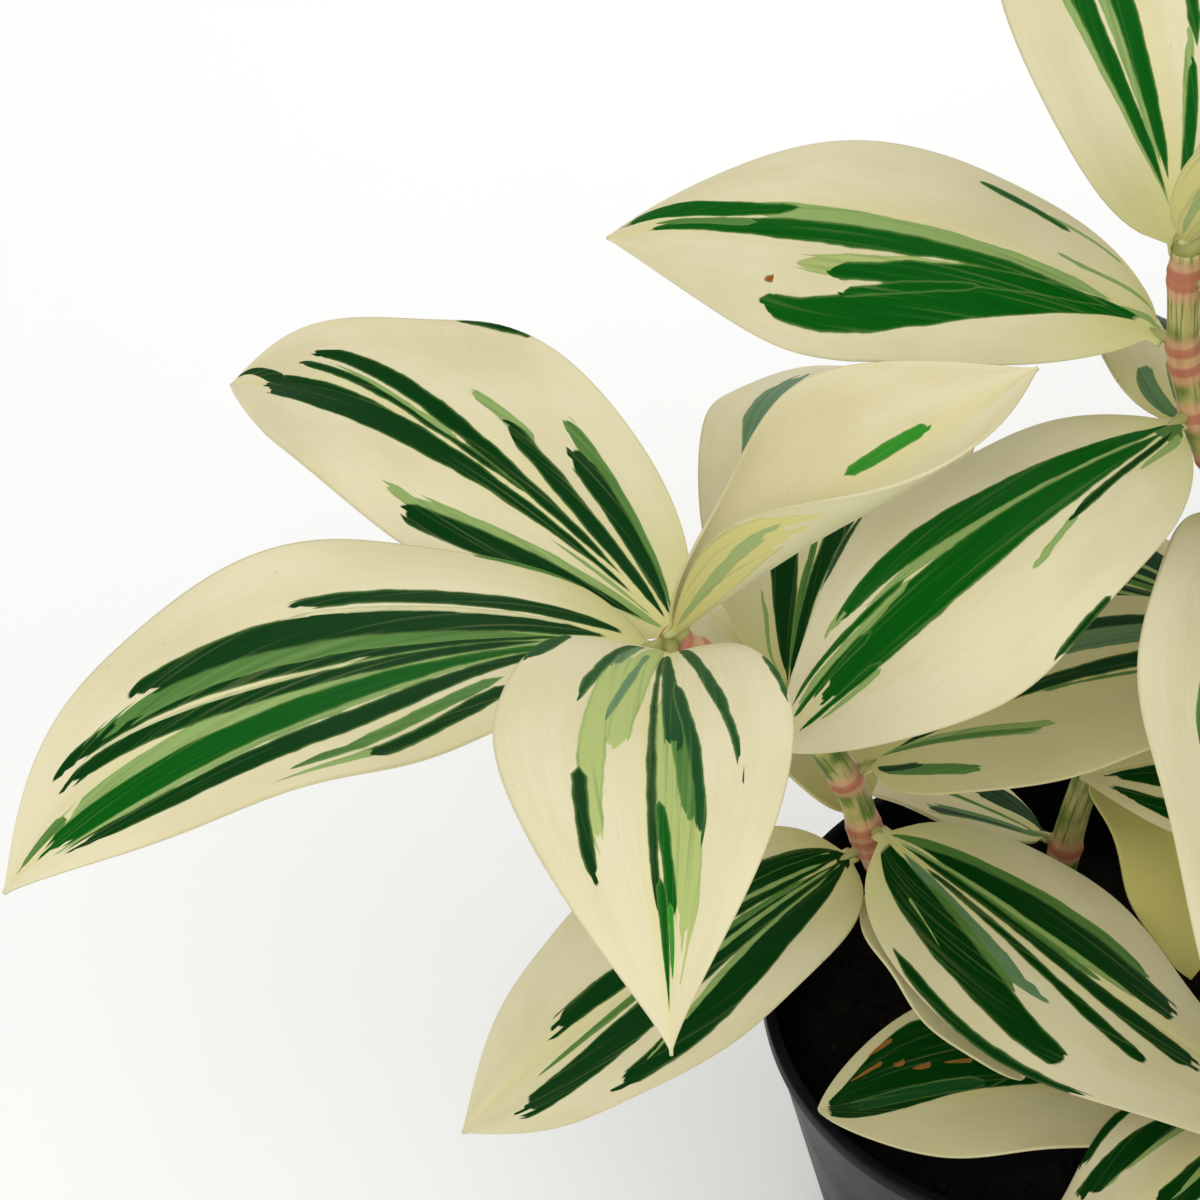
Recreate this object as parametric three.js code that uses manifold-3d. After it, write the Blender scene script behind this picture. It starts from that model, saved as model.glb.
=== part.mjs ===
// A potted variegated spiral ginger: five leafy stems standing in the soil of a round nursery pot.
// Millimetres, +Z up. The origin is the centre of the pot's underside, and +Y is away from the viewer.
import * as THREE from 'three';
import { mergeVertices } from 'three/addons/utils/BufferGeometryUtils.js';
import Module from 'manifold-3d';

const wasm = await Module();
wasm.setup();

// Driving dimensions
const FIT_GAP = 0.3; // clearance between pieces that touch
const POT = {
  height: 120,
  rimRadius: 69,
  baseRadius: 44,
  lipHeight: 5,
  lipOverhang: 1.2,
  wall: 1.6,
  floor: 2.4,
  edge: 0.7,
  sides: 64,
  drainHoles: 6,
  drainRadius: 5,
  drainCircle: 30,
  drainSides: 16,
};
const SOIL = {
  level: 104,
  bevel: 4,
  mound: 2.5,
  crumb: 0.9,
  coarse: 0.3, // how fast the crumbs change across the surface, in radians a millimetre
  fine: 0.2,
  sides: 36,
  rings: [0, 12, 24, 36, 47, 57],
  holeGap: 0.5,
  holeSides: 12,
  holeSteps: 5,
  holeRise: 12,
};
const STEM = {
  baseRadius: 4.3,
  tipRadius: 3.3,
  collar: 0.8,
  collarLength: 2.2,
  sides: 10,
  step: 12,
  closest: 1.2,
  buried: 26,
  footShare: 0.9, // how far out the buried foot stands, against the stem's place at the surface
};
const LEAF = {
  thickness: 0.75,
  stalk: 0.02,
  stalkHalfWidth: 2.4,
  tipHalfWidth: 0.7,
  columns: [-1, -0.5, 0, 0.5, 1],
  rows: [0, 0.03, 0.07, 0.13, 0.21, 0.31, 0.42, 0.53, 0.64, 0.75, 0.85, 0.93, 0.985],
  walk: 4,
};

// What a leaf is like where its own line says nothing else: degrees, millimetres and shares of one
const USUAL_LEAF = {
  length: 140,
  width: 60,
  rise: 30,
  fall: -25,
  swerve: 0,
  roll: 0,
  twist: 0,
  fold: 7,
  curl: -15,
  unfurl: 0,
  bias: 0,
  lean: 0,
  belly: 0.4,
  shoulder: 2,
  point: 1.04,
  wave: 1.6,
  ripples: 2,
  phase: 0,
};

// Each stem's line, from its foot in the soil to its growing tip
const STEMS = {
  front_left: [[-20, 16, 104], [-31, 13, 135], [-44, 9, 165], [-51, 9, 190], [-68, 3, 226], [-93, -8, 262]],
  tall: [[43, 34, 104], [50, 44, 160], [47, 48, 215], [34, 42, 254], [24, 39, 278], [18, 43, 301], [16, 46, 327]],
  front_right: [[40, -31, 104], [51, -35, 130], [65, -43, 158], [83, -57, 200], [96, -71, 240]],
  back_right: [[50, 8, 104], [64, 10, 132], [90, 15, 187], [110, 22, 230], [126, 30, 272]],
  young: [[7, 37, 104], [7, 36, 120], [9, 38, 140], [13, 42, 160]],
};

// The leaves of each stem, from the top down. The height is where the leaf leaves its stem, and the
// heading is the way it points, in degrees from +X towards +Y. A furled leaf grows out of the tip.
const LEAVES = {
  front_left: [
    {
      furled: true, heading: 16, rise: 45, fall: 27, swerve: 4, roll: 12, twist: -10, length: 100,
      width: 54, curl: 158, unfurl: -165, bias: 0.4, fold: 16, lean: -0.1, belly: 0.54, shoulder: 1.5,
      point: 1.2, wave: 3, ripples: 1.6, phase: 0.1,
    },
    {
      height: 255, heading: 134, rise: 22, fall: -41, swerve: 6, roll: -18, length: 155, width: 56,
      curl: 4, fold: 11, lean: -0.03, shoulder: 1.8, point: 0.95, wave: 4.2, phase: 0.68,
    },
    {
      height: 262, heading: 264, rise: 58, fall: -16, swerve: 9, roll: 4, twist: -5, length: 157, width: 60,
      curl: -10, fold: 17, lean: -0.12, belly: 0.52, shoulder: 1.5, point: 1.3, wave: 1,
    },
    {
      height: 261, heading: 193, rise: 33, fall: -16, swerve: 37, roll: 9, twist: -6, length: 164, width: 68,
      curl: -13, fold: 8, lean: -0.07, belly: 0.48, point: 1.09, wave: 2.4, ripples: 2.2, phase: 0.53,
    },
    {
      height: 223, heading: 80, rise: 20, fall: -50, swerve: -4, roll: -3, twist: -8, length: 150, width: 65,
      curl: -8, fold: 8, belly: 0.52, shoulder: 1.8, wave: 1.9, phase: 0.05,
    },
    {
      height: 192, heading: 9, rise: 37, fall: -11, swerve: -10, roll: -15, length: 130, width: 62,
      curl: -14, phase: 0.28,
    },
    { height: 170, heading: 118, rise: 26, fall: -40, roll: 18, length: 90, width: 39, curl: 3, fold: 12 },
    {
      height: 174, heading: -44, rise: 2, fall: -32, swerve: 23, twist: -31, length: 140, width: 63,
      curl: -28, fold: 3, belly: 0.36, point: 1.14, phase: 0.2,
    },
    {
      height: 166, heading: 211, rise: 1, fall: -45, swerve: -5, roll: 10, length: 117, width: 60,
      curl: -13, fold: 8, belly: 0.5, shoulder: 2.4, ripples: 2.2, phase: 0.58,
    },
    {
      height: 159, heading: -58, rise: 2, fall: -30, swerve: -4, roll: -15, twist: -5, length: 60,
      width: 45, curl: -8, fold: 12, point: 0.8, phase: 0.63,
    },
  ],
  tall: [
    {
      furled: true, heading: -20, rise: 58, fall: 48, roll: -5, length: 108, width: 47,
      curl: 110, unfurl: -60, fold: 13,
    },
    { height: 322, heading: 102, rise: 44, fall: -24, roll: 19, length: 150, width: 63, curl: -10, phase: 0.8 },
    { height: 319, heading: -32, rise: 38, fall: -34, swerve: 10, roll: -8, length: 150, width: 62 },
    {
      height: 301, heading: 144, rise: 9, fall: -34, swerve: 19, twist: -20, length: 143, width: 64,
      curl: -33, fold: 2, lean: 0.06, belly: 0.45, shoulder: 1.6, wave: 1.8, ripples: 1.8, phase: 0.34,
    },
    { height: 296, heading: 36, rise: 26, fall: -34, swerve: -8, length: 146, width: 60, phase: 0.4 },
    {
      height: 284, heading: 221, rise: 19, fall: -57, swerve: -13, roll: 8, length: 124, width: 63,
      curl: -28, fold: 3, lean: 0.04, belly: 0.54, shoulder: 1.8, point: 0.96, wave: 2.1, phase: 0.29,
    },
    {
      height: 270, heading: 94, rise: 12, fall: -83, roll: 11, twist: 13, length: 91, width: 51,
      curl: -8, fold: 9, shoulder: 2.6, wave: 1.8, phase: 0.58,
    },
    {
      height: 250, heading: 264, rise: 22, fall: -15, roll: -36, length: 159, width: 63,
      curl: 0, fold: 11, lean: 0.05, belly: 0.45, shoulder: 1.7, wave: 2.4,
    },
    { height: 230, heading: -42, rise: 24, fall: -34, length: 96, width: 48, phase: 0.15 },
    { height: 198, heading: 160, rise: 12, fall: -33, roll: 10, length: 100, width: 54, curl: -26, fold: 4 },
    { height: 200, heading: 66, rise: 22, fall: -42, length: 128, width: 57, phase: 0.55 },
  ],
  front_right: [
    {
      furled: true, heading: -70, rise: 66, fall: 52, length: 98, width: 46,
      curl: 110, unfurl: -60, fold: 13,
    },
    { height: 237, heading: -22, rise: 30, fall: -28, length: 140, width: 60, phase: 0.3 },
    { height: 229, heading: 250, rise: 32, fall: -24, length: 138, width: 60, phase: 0.6 },
    { height: 221, heading: 46, rise: 34, fall: -22, length: 110, width: 50 },
    { height: 198, heading: -64, rise: 18, fall: -38, length: 132, width: 58, phase: 0.2 },
    { height: 176, heading: 4, rise: 14, fall: -44, length: 124, width: 56, phase: 0.45 },
    {
      height: 138, heading: 226, rise: 16, fall: -38, roll: 11, twist: 11, length: 104, width: 49,
      curl: -20, fold: 5, belly: 0.36, wave: 2.4, phase: 0.9,
    },
    {
      height: 125, heading: 178, rise: 4, fall: -12, swerve: 7, roll: 8, twist: -5, length: 101, width: 50,
      curl: -3, fold: 9, lean: -0.08, belly: 0.53, point: 0.8,
    },
  ],
  back_right: [
    {
      furled: true, heading: 60, rise: 64, fall: 50, length: 100, width: 46,
      curl: 110, unfurl: -60, fold: 13,
    },
    { height: 269, heading: 14, rise: 30, fall: -30, length: 146, width: 61, phase: 0.1 },
    { height: 264, heading: 106, rise: 30, fall: -34, length: 142, width: 60, phase: 0.5 },
    { height: 250, heading: -60, rise: 30, fall: -30, length: 98, width: 50, phase: 0.7 },
    { height: 226, heading: 56, rise: 20, fall: -44, length: 134, width: 58, phase: 0.35 },
    { height: 206, heading: -14, rise: 16, fall: -46, length: 124, width: 55 },
    { height: 187, heading: 180, rise: 14, fall: -35, swerve: -9, roll: -8, length: 84, width: 54 },
    { height: 160, heading: 84, rise: 16, fall: -40, length: 118, width: 52, phase: 0.25 },
  ],
  young: [
    {
      furled: true, heading: 110, rise: 70, fall: 60, length: 40, width: 22,
      curl: 110, unfurl: -60, fold: 13, wave: 0.6,
    },
    {
      height: 158, heading: -56, rise: 20, fall: -79, swerve: -26, roll: -21, length: 63, width: 38,
      curl: -10, fold: 12, wave: 2, phase: 0.79,
    },
    { height: 128, heading: 163, rise: 23, fall: -10, roll: 26, length: 76, width: 35, curl: -6, wave: 1 },
  ],
};

// Finishes: colour, roughness and metalness
const FINISH = {
  pot: { color: 0x1b1b1e, roughness: 0.5, metalness: 0 },
  soil: { color: 0x17120e, roughness: 0.95, metalness: 0 },
  stem: { color: 0x6f7a2c, roughness: 0.55, metalness: 0 },
  leaf: { color: 0xd6cfa6, roughness: 0.42, metalness: 0 },
};

const radians = THREE.MathUtils.degToRad;
const mix = THREE.MathUtils.lerp;

// Manifold helpers: a closed geometry to a solid, and back again
function toSolid(geometry) {
  const bare = geometry.clone();
  bare.deleteAttribute('normal');
  bare.deleteAttribute('uv');
  const welded = mergeVertices(bare, 1e-4);
  return new wasm.Manifold(new wasm.Mesh({
    numProp: 3,
    vertProperties: new Float32Array(welded.attributes.position.array),
    triVerts: new Uint32Array(welded.index.array),
  }));
}

function toGeometry(solid) {
  const mesh = solid.getMesh();
  const geometry = new THREE.BufferGeometry();
  geometry.setAttribute('position', new THREE.BufferAttribute(mesh.vertProperties, 3));
  geometry.setIndex(new THREE.BufferAttribute(mesh.triVerts, 1));
  geometry.computeVertexNormals();
  return geometry;
}

// A closed body swept along a rising curve, with a round section at each share of its length given
function sweep(curve, radiusAt, sides, shares) {
  const points = [];
  const faces = [];
  for (const share of shares) {
    const centre = curve.getPointAt(share);
    const tangent = curve.getTangentAt(share);
    const right = new THREE.Vector3(1, 0, 0).addScaledVector(tangent, -tangent.x).normalize();
    const back = tangent.clone().cross(right);
    const radius = radiusAt(centre);
    for (let j = 0; j < sides; j += 1) {
      const angle = (j / sides) * 2 * Math.PI;
      const place = centre.clone().addScaledVector(right, Math.cos(angle) * radius);
      points.push(...place.addScaledVector(back, Math.sin(angle) * radius).toArray());
    }
  }
  const foot = points.length / 3;
  const top = foot + 1;
  points.push(...curve.getPointAt(0).toArray(), ...curve.getPointAt(1).toArray());
  const last = (shares.length - 1) * sides;
  for (let j = 0; j < sides; j += 1) {
    const k = (j + 1) % sides;
    for (let ring = 0; ring < last; ring += sides) {
      const [a, b] = [ring + j, ring + k];
      faces.push(a, b, b + sides, a, b + sides, a + sides);
    }
    faces.push(foot, k, j, top, last + j, last + k);
  }
  const geometry = new THREE.BufferGeometry();
  geometry.setAttribute('position', new THREE.Float32BufferAttribute(points, 3));
  geometry.setIndex(faces);
  geometry.computeVertexNormals();
  return geometry;
}

// Even shares of a length, from its start to its end
function evenShares(count) {
  return Array.from({ length: count + 1 }, (_, i) => i / count);
}

// A thin closed sheet: place(row, column, side) gives a point of its top (side 1) or underside (-1).
// Both faces are split along the same diagonals, so a waved sheet never crosses itself.
function thinSheet(rows, columns, place) {
  const across = columns.length;
  const layer = rows.length * across;
  const points = [];
  for (const side of [1, -1]) {
    for (const row of rows) {
      for (const column of columns) {
        points.push(...place(row, column, side).toArray());
      }
    }
  }
  const faces = [];
  const quad = (a, b, c, d) => faces.push(a, b, c, a, c, d);
  for (let i = 0; i + 1 < rows.length; i += 1) {
    for (let j = 0; j + 1 < across; j += 1) {
      const a = i * across + j;
      const [b, c, d] = [a + across, a + across + 1, a + 1];
      quad(a, b, c, d);
      faces.push(layer + a, layer + c, layer + b, layer + a, layer + d, layer + c);
    }
    const right = i * across;
    const left = right + across - 1;
    quad(right, right + layer, right + across + layer, right + across);
    quad(left, left + across, left + across + layer, left + layer);
  }
  const last = layer - across;
  for (let j = 0; j + 1 < across; j += 1) {
    quad(j, j + 1, j + 1 + layer, j + layer);
    quad(last + j, last + j + layer, last + j + 1 + layer, last + j + 1);
  }
  const geometry = new THREE.BufferGeometry();
  geometry.setAttribute('position', new THREE.Float32BufferAttribute(points, 3));
  geometry.setIndex(faces);
  geometry.computeVertexNormals();
  return geometry;
}

// The pot's outer radius at a height of its tapered wall, below the lip
function potRadius(height) {
  const wallTop = POT.rimRadius - POT.lipOverhang;
  return mix(POT.baseRadius, wallTop, height / (POT.height - POT.lipHeight));
}

// The pot: a tapered shell with a narrow rolled lip and drain holes through its floor
function potGeometry() {
  const lipFoot = POT.height - POT.lipHeight;
  const wallTop = potRadius(lipFoot);
  const innerRim = wallTop - POT.wall;
  const profile = [
    [0, 0],
    [POT.baseRadius - POT.edge, 0],
    [POT.baseRadius, POT.edge],
    [wallTop, lipFoot],
    [POT.rimRadius - POT.edge / 2, lipFoot],
    [POT.rimRadius, lipFoot + POT.edge],
    [POT.rimRadius, POT.height - POT.edge],
    [POT.rimRadius - POT.edge, POT.height],
    [innerRim + POT.edge, POT.height],
    [innerRim, POT.height - POT.edge],
    [innerRim, lipFoot],
    [potRadius(POT.floor) - POT.wall, POT.floor],
    [0, POT.floor],
  ].map(([radius, height]) => new THREE.Vector2(radius, height));
  const shell = new THREE.LatheGeometry(profile, POT.sides).rotateX(Math.PI / 2);
  let solid = toSolid(shell);
  for (let i = 0; i < POT.drainHoles; i += 1) {
    const angle = ((i + 0.5) / POT.drainHoles) * 2 * Math.PI;
    const hole = new THREE.CylinderGeometry(POT.drainRadius, POT.drainRadius, 4 * POT.floor, POT.drainSides)
      .rotateX(Math.PI / 2)
      .translate(POT.drainCircle * Math.cos(angle), POT.drainCircle * Math.sin(angle), POT.floor / 2);
    solid = solid.subtract(toSolid(hole));
  }
  return toGeometry(solid);
}

// How far the soil's surface stands above or below its level: a low mound with crumbs on it
function soilRelief(x, y) {
  const far = Math.hypot(x, y) / SOIL.rings.at(-1);
  const crumbs = Math.sin(SOIL.coarse * x + 1) * Math.cos(SOIL.coarse * y) + Math.sin(SOIL.fine * (x - y));
  return SOIL.mound * (0.5 - far * far) + SOIL.crumb * crumbs;
}

// The soil: a crumbly mound that fills the pot, with a plain hole for each stem
function soilGeometry(stemCurves) {
  const floor = POT.floor + FIT_GAP;
  const shoulder = SOIL.level - SOIL.bevel;
  const innerRadius = (height) => potRadius(height) - POT.wall - 2 * FIT_GAP;
  const outline = [[0, floor], [innerRadius(floor), floor], [innerRadius(shoulder), shoulder]];
  for (const ring of [...SOIL.rings].reverse()) {
    outline.push([ring, SOIL.level]);
  }
  const profile = outline.map(([radius, height]) => new THREE.Vector2(radius, height));
  const body = new THREE.LatheGeometry(profile, SOIL.sides).rotateX(Math.PI / 2);
  const place = body.attributes.position;
  for (let i = 0; i < place.count; i += 1) {
    if (place.getZ(i) > shoulder + FIT_GAP) {
      place.setZ(i, place.getZ(i) + soilRelief(place.getX(i), place.getY(i)));
    }
  }
  let solid = toSolid(body);
  for (const curve of stemCurves) {
    solid = solid.subtract(toSolid(stemHole(curve)));
  }
  return toGeometry(solid);
}

// The plain hole a stem stands in: it follows the buried line, a little wider and deeper than it
function stemHole(curve) {
  const reach = (STEM.buried + SOIL.holeRise) / curve.getLength();
  const points = evenShares(SOIL.holeSteps).map((share) => curve.getPointAt(reach * share));
  points[0].z -= FIT_GAP;
  const radius = STEM.baseRadius + SOIL.holeGap;
  const line = new THREE.CatmullRomCurve3(points);
  return sweep(line, () => radius, SOIL.holeSides, evenShares(SOIL.holeSteps));
}

// A stem's line with its buried foot, which stands a little further in than the stem above it
function stemCurve(line) {
  const [x, y, z] = line[0];
  const half = (1 + STEM.footShare) / 2;
  const foot = [
    [x * STEM.footShare, y * STEM.footShare, z - STEM.buried],
    [x * half, y * half, z - STEM.buried / 2],
  ];
  return new THREE.CatmullRomCurve3([...foot, ...line].map((point) => new THREE.Vector3(...point)));
}

// The place and direction of a rising curve where it reaches a height
function curveAtHeight(curve, height) {
  let [low, high] = [0, 1];
  for (let i = 0; i < 30; i += 1) {
    const middle = (low + high) / 2;
    if (curve.getPointAt(middle).z < height) low = middle;
    else high = middle;
  }
  return { share: high, point: curve.getPointAt(high), tangent: curve.getTangentAt(high) };
}

// Where a stem has its sections: its two ends, three on each collar, and others evenly between them
function stemShares(curve, collars) {
  const length = curve.getLength();
  const apart = (one, other) => Math.abs(one - other) * length;
  const shares = [0, 1];
  const add = (share, room) => {
    if (share > 0 && share < 1 && shares.every((other) => apart(share, other) > room)) shares.push(share);
  };
  for (const height of collars) add(curveAtHeight(curve, height).share, STEM.closest);
  for (const height of collars) {
    const { share } = curveAtHeight(curve, height);
    add(share - STEM.collarLength / length, STEM.closest);
    add(share + STEM.collarLength / length, STEM.closest);
  }
  for (const share of evenShares(Math.round(length / STEM.step))) add(share, STEM.step / 2);
  return shares.sort((one, other) => one - other);
}

// A stem's radius at a height: a slow taper, with a collar under each leaf
function stemRadius(line, collars) {
  const top = line.at(-1)[2];
  const foot = line[0][2];
  return (point) => {
    const share = THREE.MathUtils.clamp((point.z - foot) / (top - foot), 0, 1);
    const nearest = Math.min(...collars.map((height) => Math.abs(point.z - height)));
    const swell = STEM.collar * Math.exp(-((nearest / STEM.collarLength) ** 2));
    return mix(STEM.baseRadius, STEM.tipRadius, share) + swell;
  };
}

// The half width of a blade at a share of its length: a short stalk, a round shoulder up to the
// belly, and a drawn tip beyond it
function halfWidth(leaf, share) {
  const along = Math.max((share - LEAF.stalk) / (1 - LEAF.stalk), 0);
  const full = leaf.width / 2;
  if (along < leaf.belly) {
    const toBelly = 1 - along / leaf.belly;
    return Math.max(full * (1 - toBelly ** leaf.shoulder) ** (1 / leaf.shoulder), LEAF.stalkHalfWidth);
  }
  const past = (along - leaf.belly) / (1 - leaf.belly);
  return Math.max(full * (1 - past * past) ** leaf.point, LEAF.tipHalfWidth);
}

// The midrib's direction, the blade's side and its up direction at a share of its length
function leafAxes(leaf, share) {
  const heading = radians(leaf.heading + leaf.swerve * share);
  const climb = radians(mix(leaf.rise, leaf.fall, share));
  const roll = radians(leaf.roll + leaf.twist * share);
  const flat = new THREE.Vector3(Math.cos(heading), Math.sin(heading), 0);
  const forward = flat.multiplyScalar(Math.cos(climb)).add(new THREE.Vector3(0, 0, Math.sin(climb)));
  const level = new THREE.Vector3(-Math.sin(heading), Math.cos(heading), 0);
  const upright = forward.clone().cross(level);
  const side = level.clone().multiplyScalar(Math.cos(roll)).addScaledVector(upright, Math.sin(roll));
  const up = upright.multiplyScalar(Math.cos(roll)).addScaledVector(level, -Math.sin(roll));
  return { forward, side, up };
}

// A leaf: its midrib walks out from the stem, and its blade is folded, curled and waved across it
function leafGeometry(leaf, root) {
  const spines = new Map([[0, root.clone()]]);
  let here = root.clone();
  for (let i = 1; i < LEAF.rows.length; i += 1) {
    const [from, to] = [LEAF.rows[i - 1], LEAF.rows[i]];
    for (let k = 0; k < LEAF.walk; k += 1) {
      const share = mix(from, to, (k + 0.5) / LEAF.walk);
      here = here.clone().addScaledVector(leafAxes(leaf, share).forward, ((to - from) * leaf.length) / LEAF.walk);
    }
    spines.set(to, here);
  }
  return thinSheet(LEAF.rows, LEAF.columns, (share, column, face) => {
    const { side, up } = leafAxes(leaf, share);
    const hand = Math.sign(column);
    const out = Math.abs(column);
    const turn = radians(leaf.curl + leaf.unfurl * share) * (1 - hand * leaf.bias) * out;
    const arc = turn === 0 ? 1 : Math.sin(turn / 2) / (turn / 2);
    const reach = halfWidth(leaf, share) * (1 + hand * leaf.lean) * out * arc;
    const chord = radians(leaf.fold) + turn / 2;
    const surface = radians(leaf.fold) + turn;
    const swing = Math.sin(2 * Math.PI * (leaf.ripples * share + leaf.phase + 0.25 * hand));
    const wave = leaf.wave * out * out * swing * Math.sin(Math.PI * share);
    const normal = out === 0
      ? up.clone()
      : up.clone().multiplyScalar(Math.cos(surface)).addScaledVector(side, -hand * Math.sin(surface));
    return spines.get(share).clone()
      .addScaledVector(side, hand * reach * Math.cos(chord))
      .addScaledVector(up, reach * Math.sin(chord) + wave)
      .addScaledVector(normal, (face * LEAF.thickness) / 2);
  });
}

// Where a leaf starts: just off its stem's skin on the side it points to, or just off the stem's tip
function leafRoot(leaf, curve, radiusAt) {
  if (leaf.furled) {
    const tip = curve.getPointAt(1);
    return tip.addScaledVector(curve.getTangentAt(1), FIT_GAP + LEAF.thickness);
  }
  const { point, tangent } = curveAtHeight(curve, leaf.height);
  const heading = radians(leaf.heading);
  const outward = new THREE.Vector3(Math.cos(heading), Math.sin(heading), 0);
  outward.addScaledVector(tangent, -outward.dot(tangent)).normalize();
  const lift = (Math.abs(Math.sin(radians(leaf.rise))) * LEAF.thickness) / 2;
  return point.addScaledVector(outward, radiusAt(point) + FIT_GAP + lift);
}

function material(finish) {
  return new THREE.MeshStandardMaterial(FINISH[finish]);
}

function piece(name, geometry, finish) {
  const mesh = new THREE.Mesh(geometry, material(finish));
  mesh.name = name;
  return mesh;
}

const plant = new THREE.Group();
const curves = Object.fromEntries(Object.entries(STEMS).map(([name, line]) => [name, stemCurve(line)]));

plant.add(piece('pot', potGeometry(), 'pot'));
plant.add(piece('soil', soilGeometry(Object.values(curves)), 'soil'));

for (const [name, line] of Object.entries(STEMS)) {
  const leaves = LEAVES[name].map((leaf) => ({ ...USUAL_LEAF, ...leaf }));
  const collars = leaves.filter((leaf) => !leaf.furled).map((leaf) => leaf.height);
  const radiusAt = stemRadius(line, collars);
  const shares = stemShares(curves[name], collars);
  plant.add(piece(`stem_${name}`, sweep(curves[name], radiusAt, STEM.sides, shares), 'stem'));
  leaves.forEach((leaf, index) => {
    const root = leafRoot(leaf, curves[name], radiusAt);
    plant.add(piece(`leaf_${name}_${index + 1}`, leafGeometry(leaf, root), 'leaf'));
  });
}

export default plant;
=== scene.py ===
"""A potted variegated spiral ginger on a pale floor, built and dressed for a picture.

The finer pieces here follow the same driving measures as the plain model whose nodes they stand for.
Lengths are in millimetres until a vertex is placed, and angles are in degrees.
"""

import logging
import math
import random
from collections.abc import Iterable, Sequence
from dataclasses import dataclass, replace
from enum import Enum
from functools import cached_property

import bmesh
import bpy
from mathutils import Matrix, Vector, noise

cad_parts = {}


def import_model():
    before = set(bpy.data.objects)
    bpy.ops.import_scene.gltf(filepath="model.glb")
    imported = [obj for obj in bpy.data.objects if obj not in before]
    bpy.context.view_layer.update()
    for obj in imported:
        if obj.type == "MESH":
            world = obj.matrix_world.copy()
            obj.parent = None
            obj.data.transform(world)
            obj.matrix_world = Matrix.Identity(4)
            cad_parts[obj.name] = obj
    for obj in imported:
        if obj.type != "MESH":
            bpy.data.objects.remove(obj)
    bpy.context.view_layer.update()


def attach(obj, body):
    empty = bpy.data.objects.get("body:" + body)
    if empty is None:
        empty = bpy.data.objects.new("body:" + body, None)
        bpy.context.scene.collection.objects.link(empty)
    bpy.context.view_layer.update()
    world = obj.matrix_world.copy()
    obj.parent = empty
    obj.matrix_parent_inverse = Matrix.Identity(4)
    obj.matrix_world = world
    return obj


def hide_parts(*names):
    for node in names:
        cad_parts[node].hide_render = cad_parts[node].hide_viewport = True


LOG = logging.getLogger("ginger")
MM = 0.001
Rgb = tuple[int, int, int]
Triple = tuple[float, float, float]


def mix(start: float, end: float, share: float) -> float:
    """The value at a share of the way from start to end."""
    return start + (end - start) * share


def linear(rgb: Rgb) -> tuple[float, float, float, float]:
    """A screen colour, 0 to 255 a channel, as the linear colour a shader takes.

    Args:
        rgb: its red, green and blue.

    Returns:
        Its red, green, blue and alpha.
    """
    parts = [value / 255 for value in rgb]
    parts = [p / 12.92 if p <= 0.04045 else ((p + 0.055) / 1.055) ** 2.4 for p in parts]
    return (*parts, 1.0)


# ---------------------------------------------------------------- measures


@dataclass(frozen=True)
class Blade:
    """One leaf's measures. Shares are of its length, and signs follow its heading's left side.

    A furled leaf grows out of its stem's tip; any other leaves the stem at a height.
    """

    heading: float
    height: float = 0
    furled: bool = False
    length: float = 140
    width: float = 60
    rise: float = 30
    fall: float = -25
    swerve: float = 0
    roll: float = 0
    twist: float = 0
    fold: float = 7
    curl: float = -15
    unfurl: float = 0
    bias: float = 0
    lean: float = 0
    belly: float = 0.4
    shoulder: float = 2
    point: float = 1.04
    wave: float = 1.6
    ripples: float = 2
    phase: float = 0


STEMS: dict[str, tuple[Triple, ...]] = {
    "front_left": (
        (-20, 16, 104), (-31, 13, 135), (-44, 9, 165), (-51, 9, 190), (-68, 3, 226), (-93, -8, 262),
    ),
    "tall": (
        (43, 34, 104), (50, 44, 160), (47, 48, 215), (34, 42, 254), (24, 39, 278), (18, 43, 301),
        (16, 46, 327),
    ),
    "front_right": ((40, -31, 104), (51, -35, 130), (65, -43, 158), (83, -57, 200), (96, -71, 240)),
    "back_right": ((50, 8, 104), (64, 10, 132), (90, 15, 187), (110, 22, 230), (126, 30, 272)),
    "young": ((7, 37, 104), (7, 36, 120), (9, 38, 140), (13, 42, 160)),
}

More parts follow.
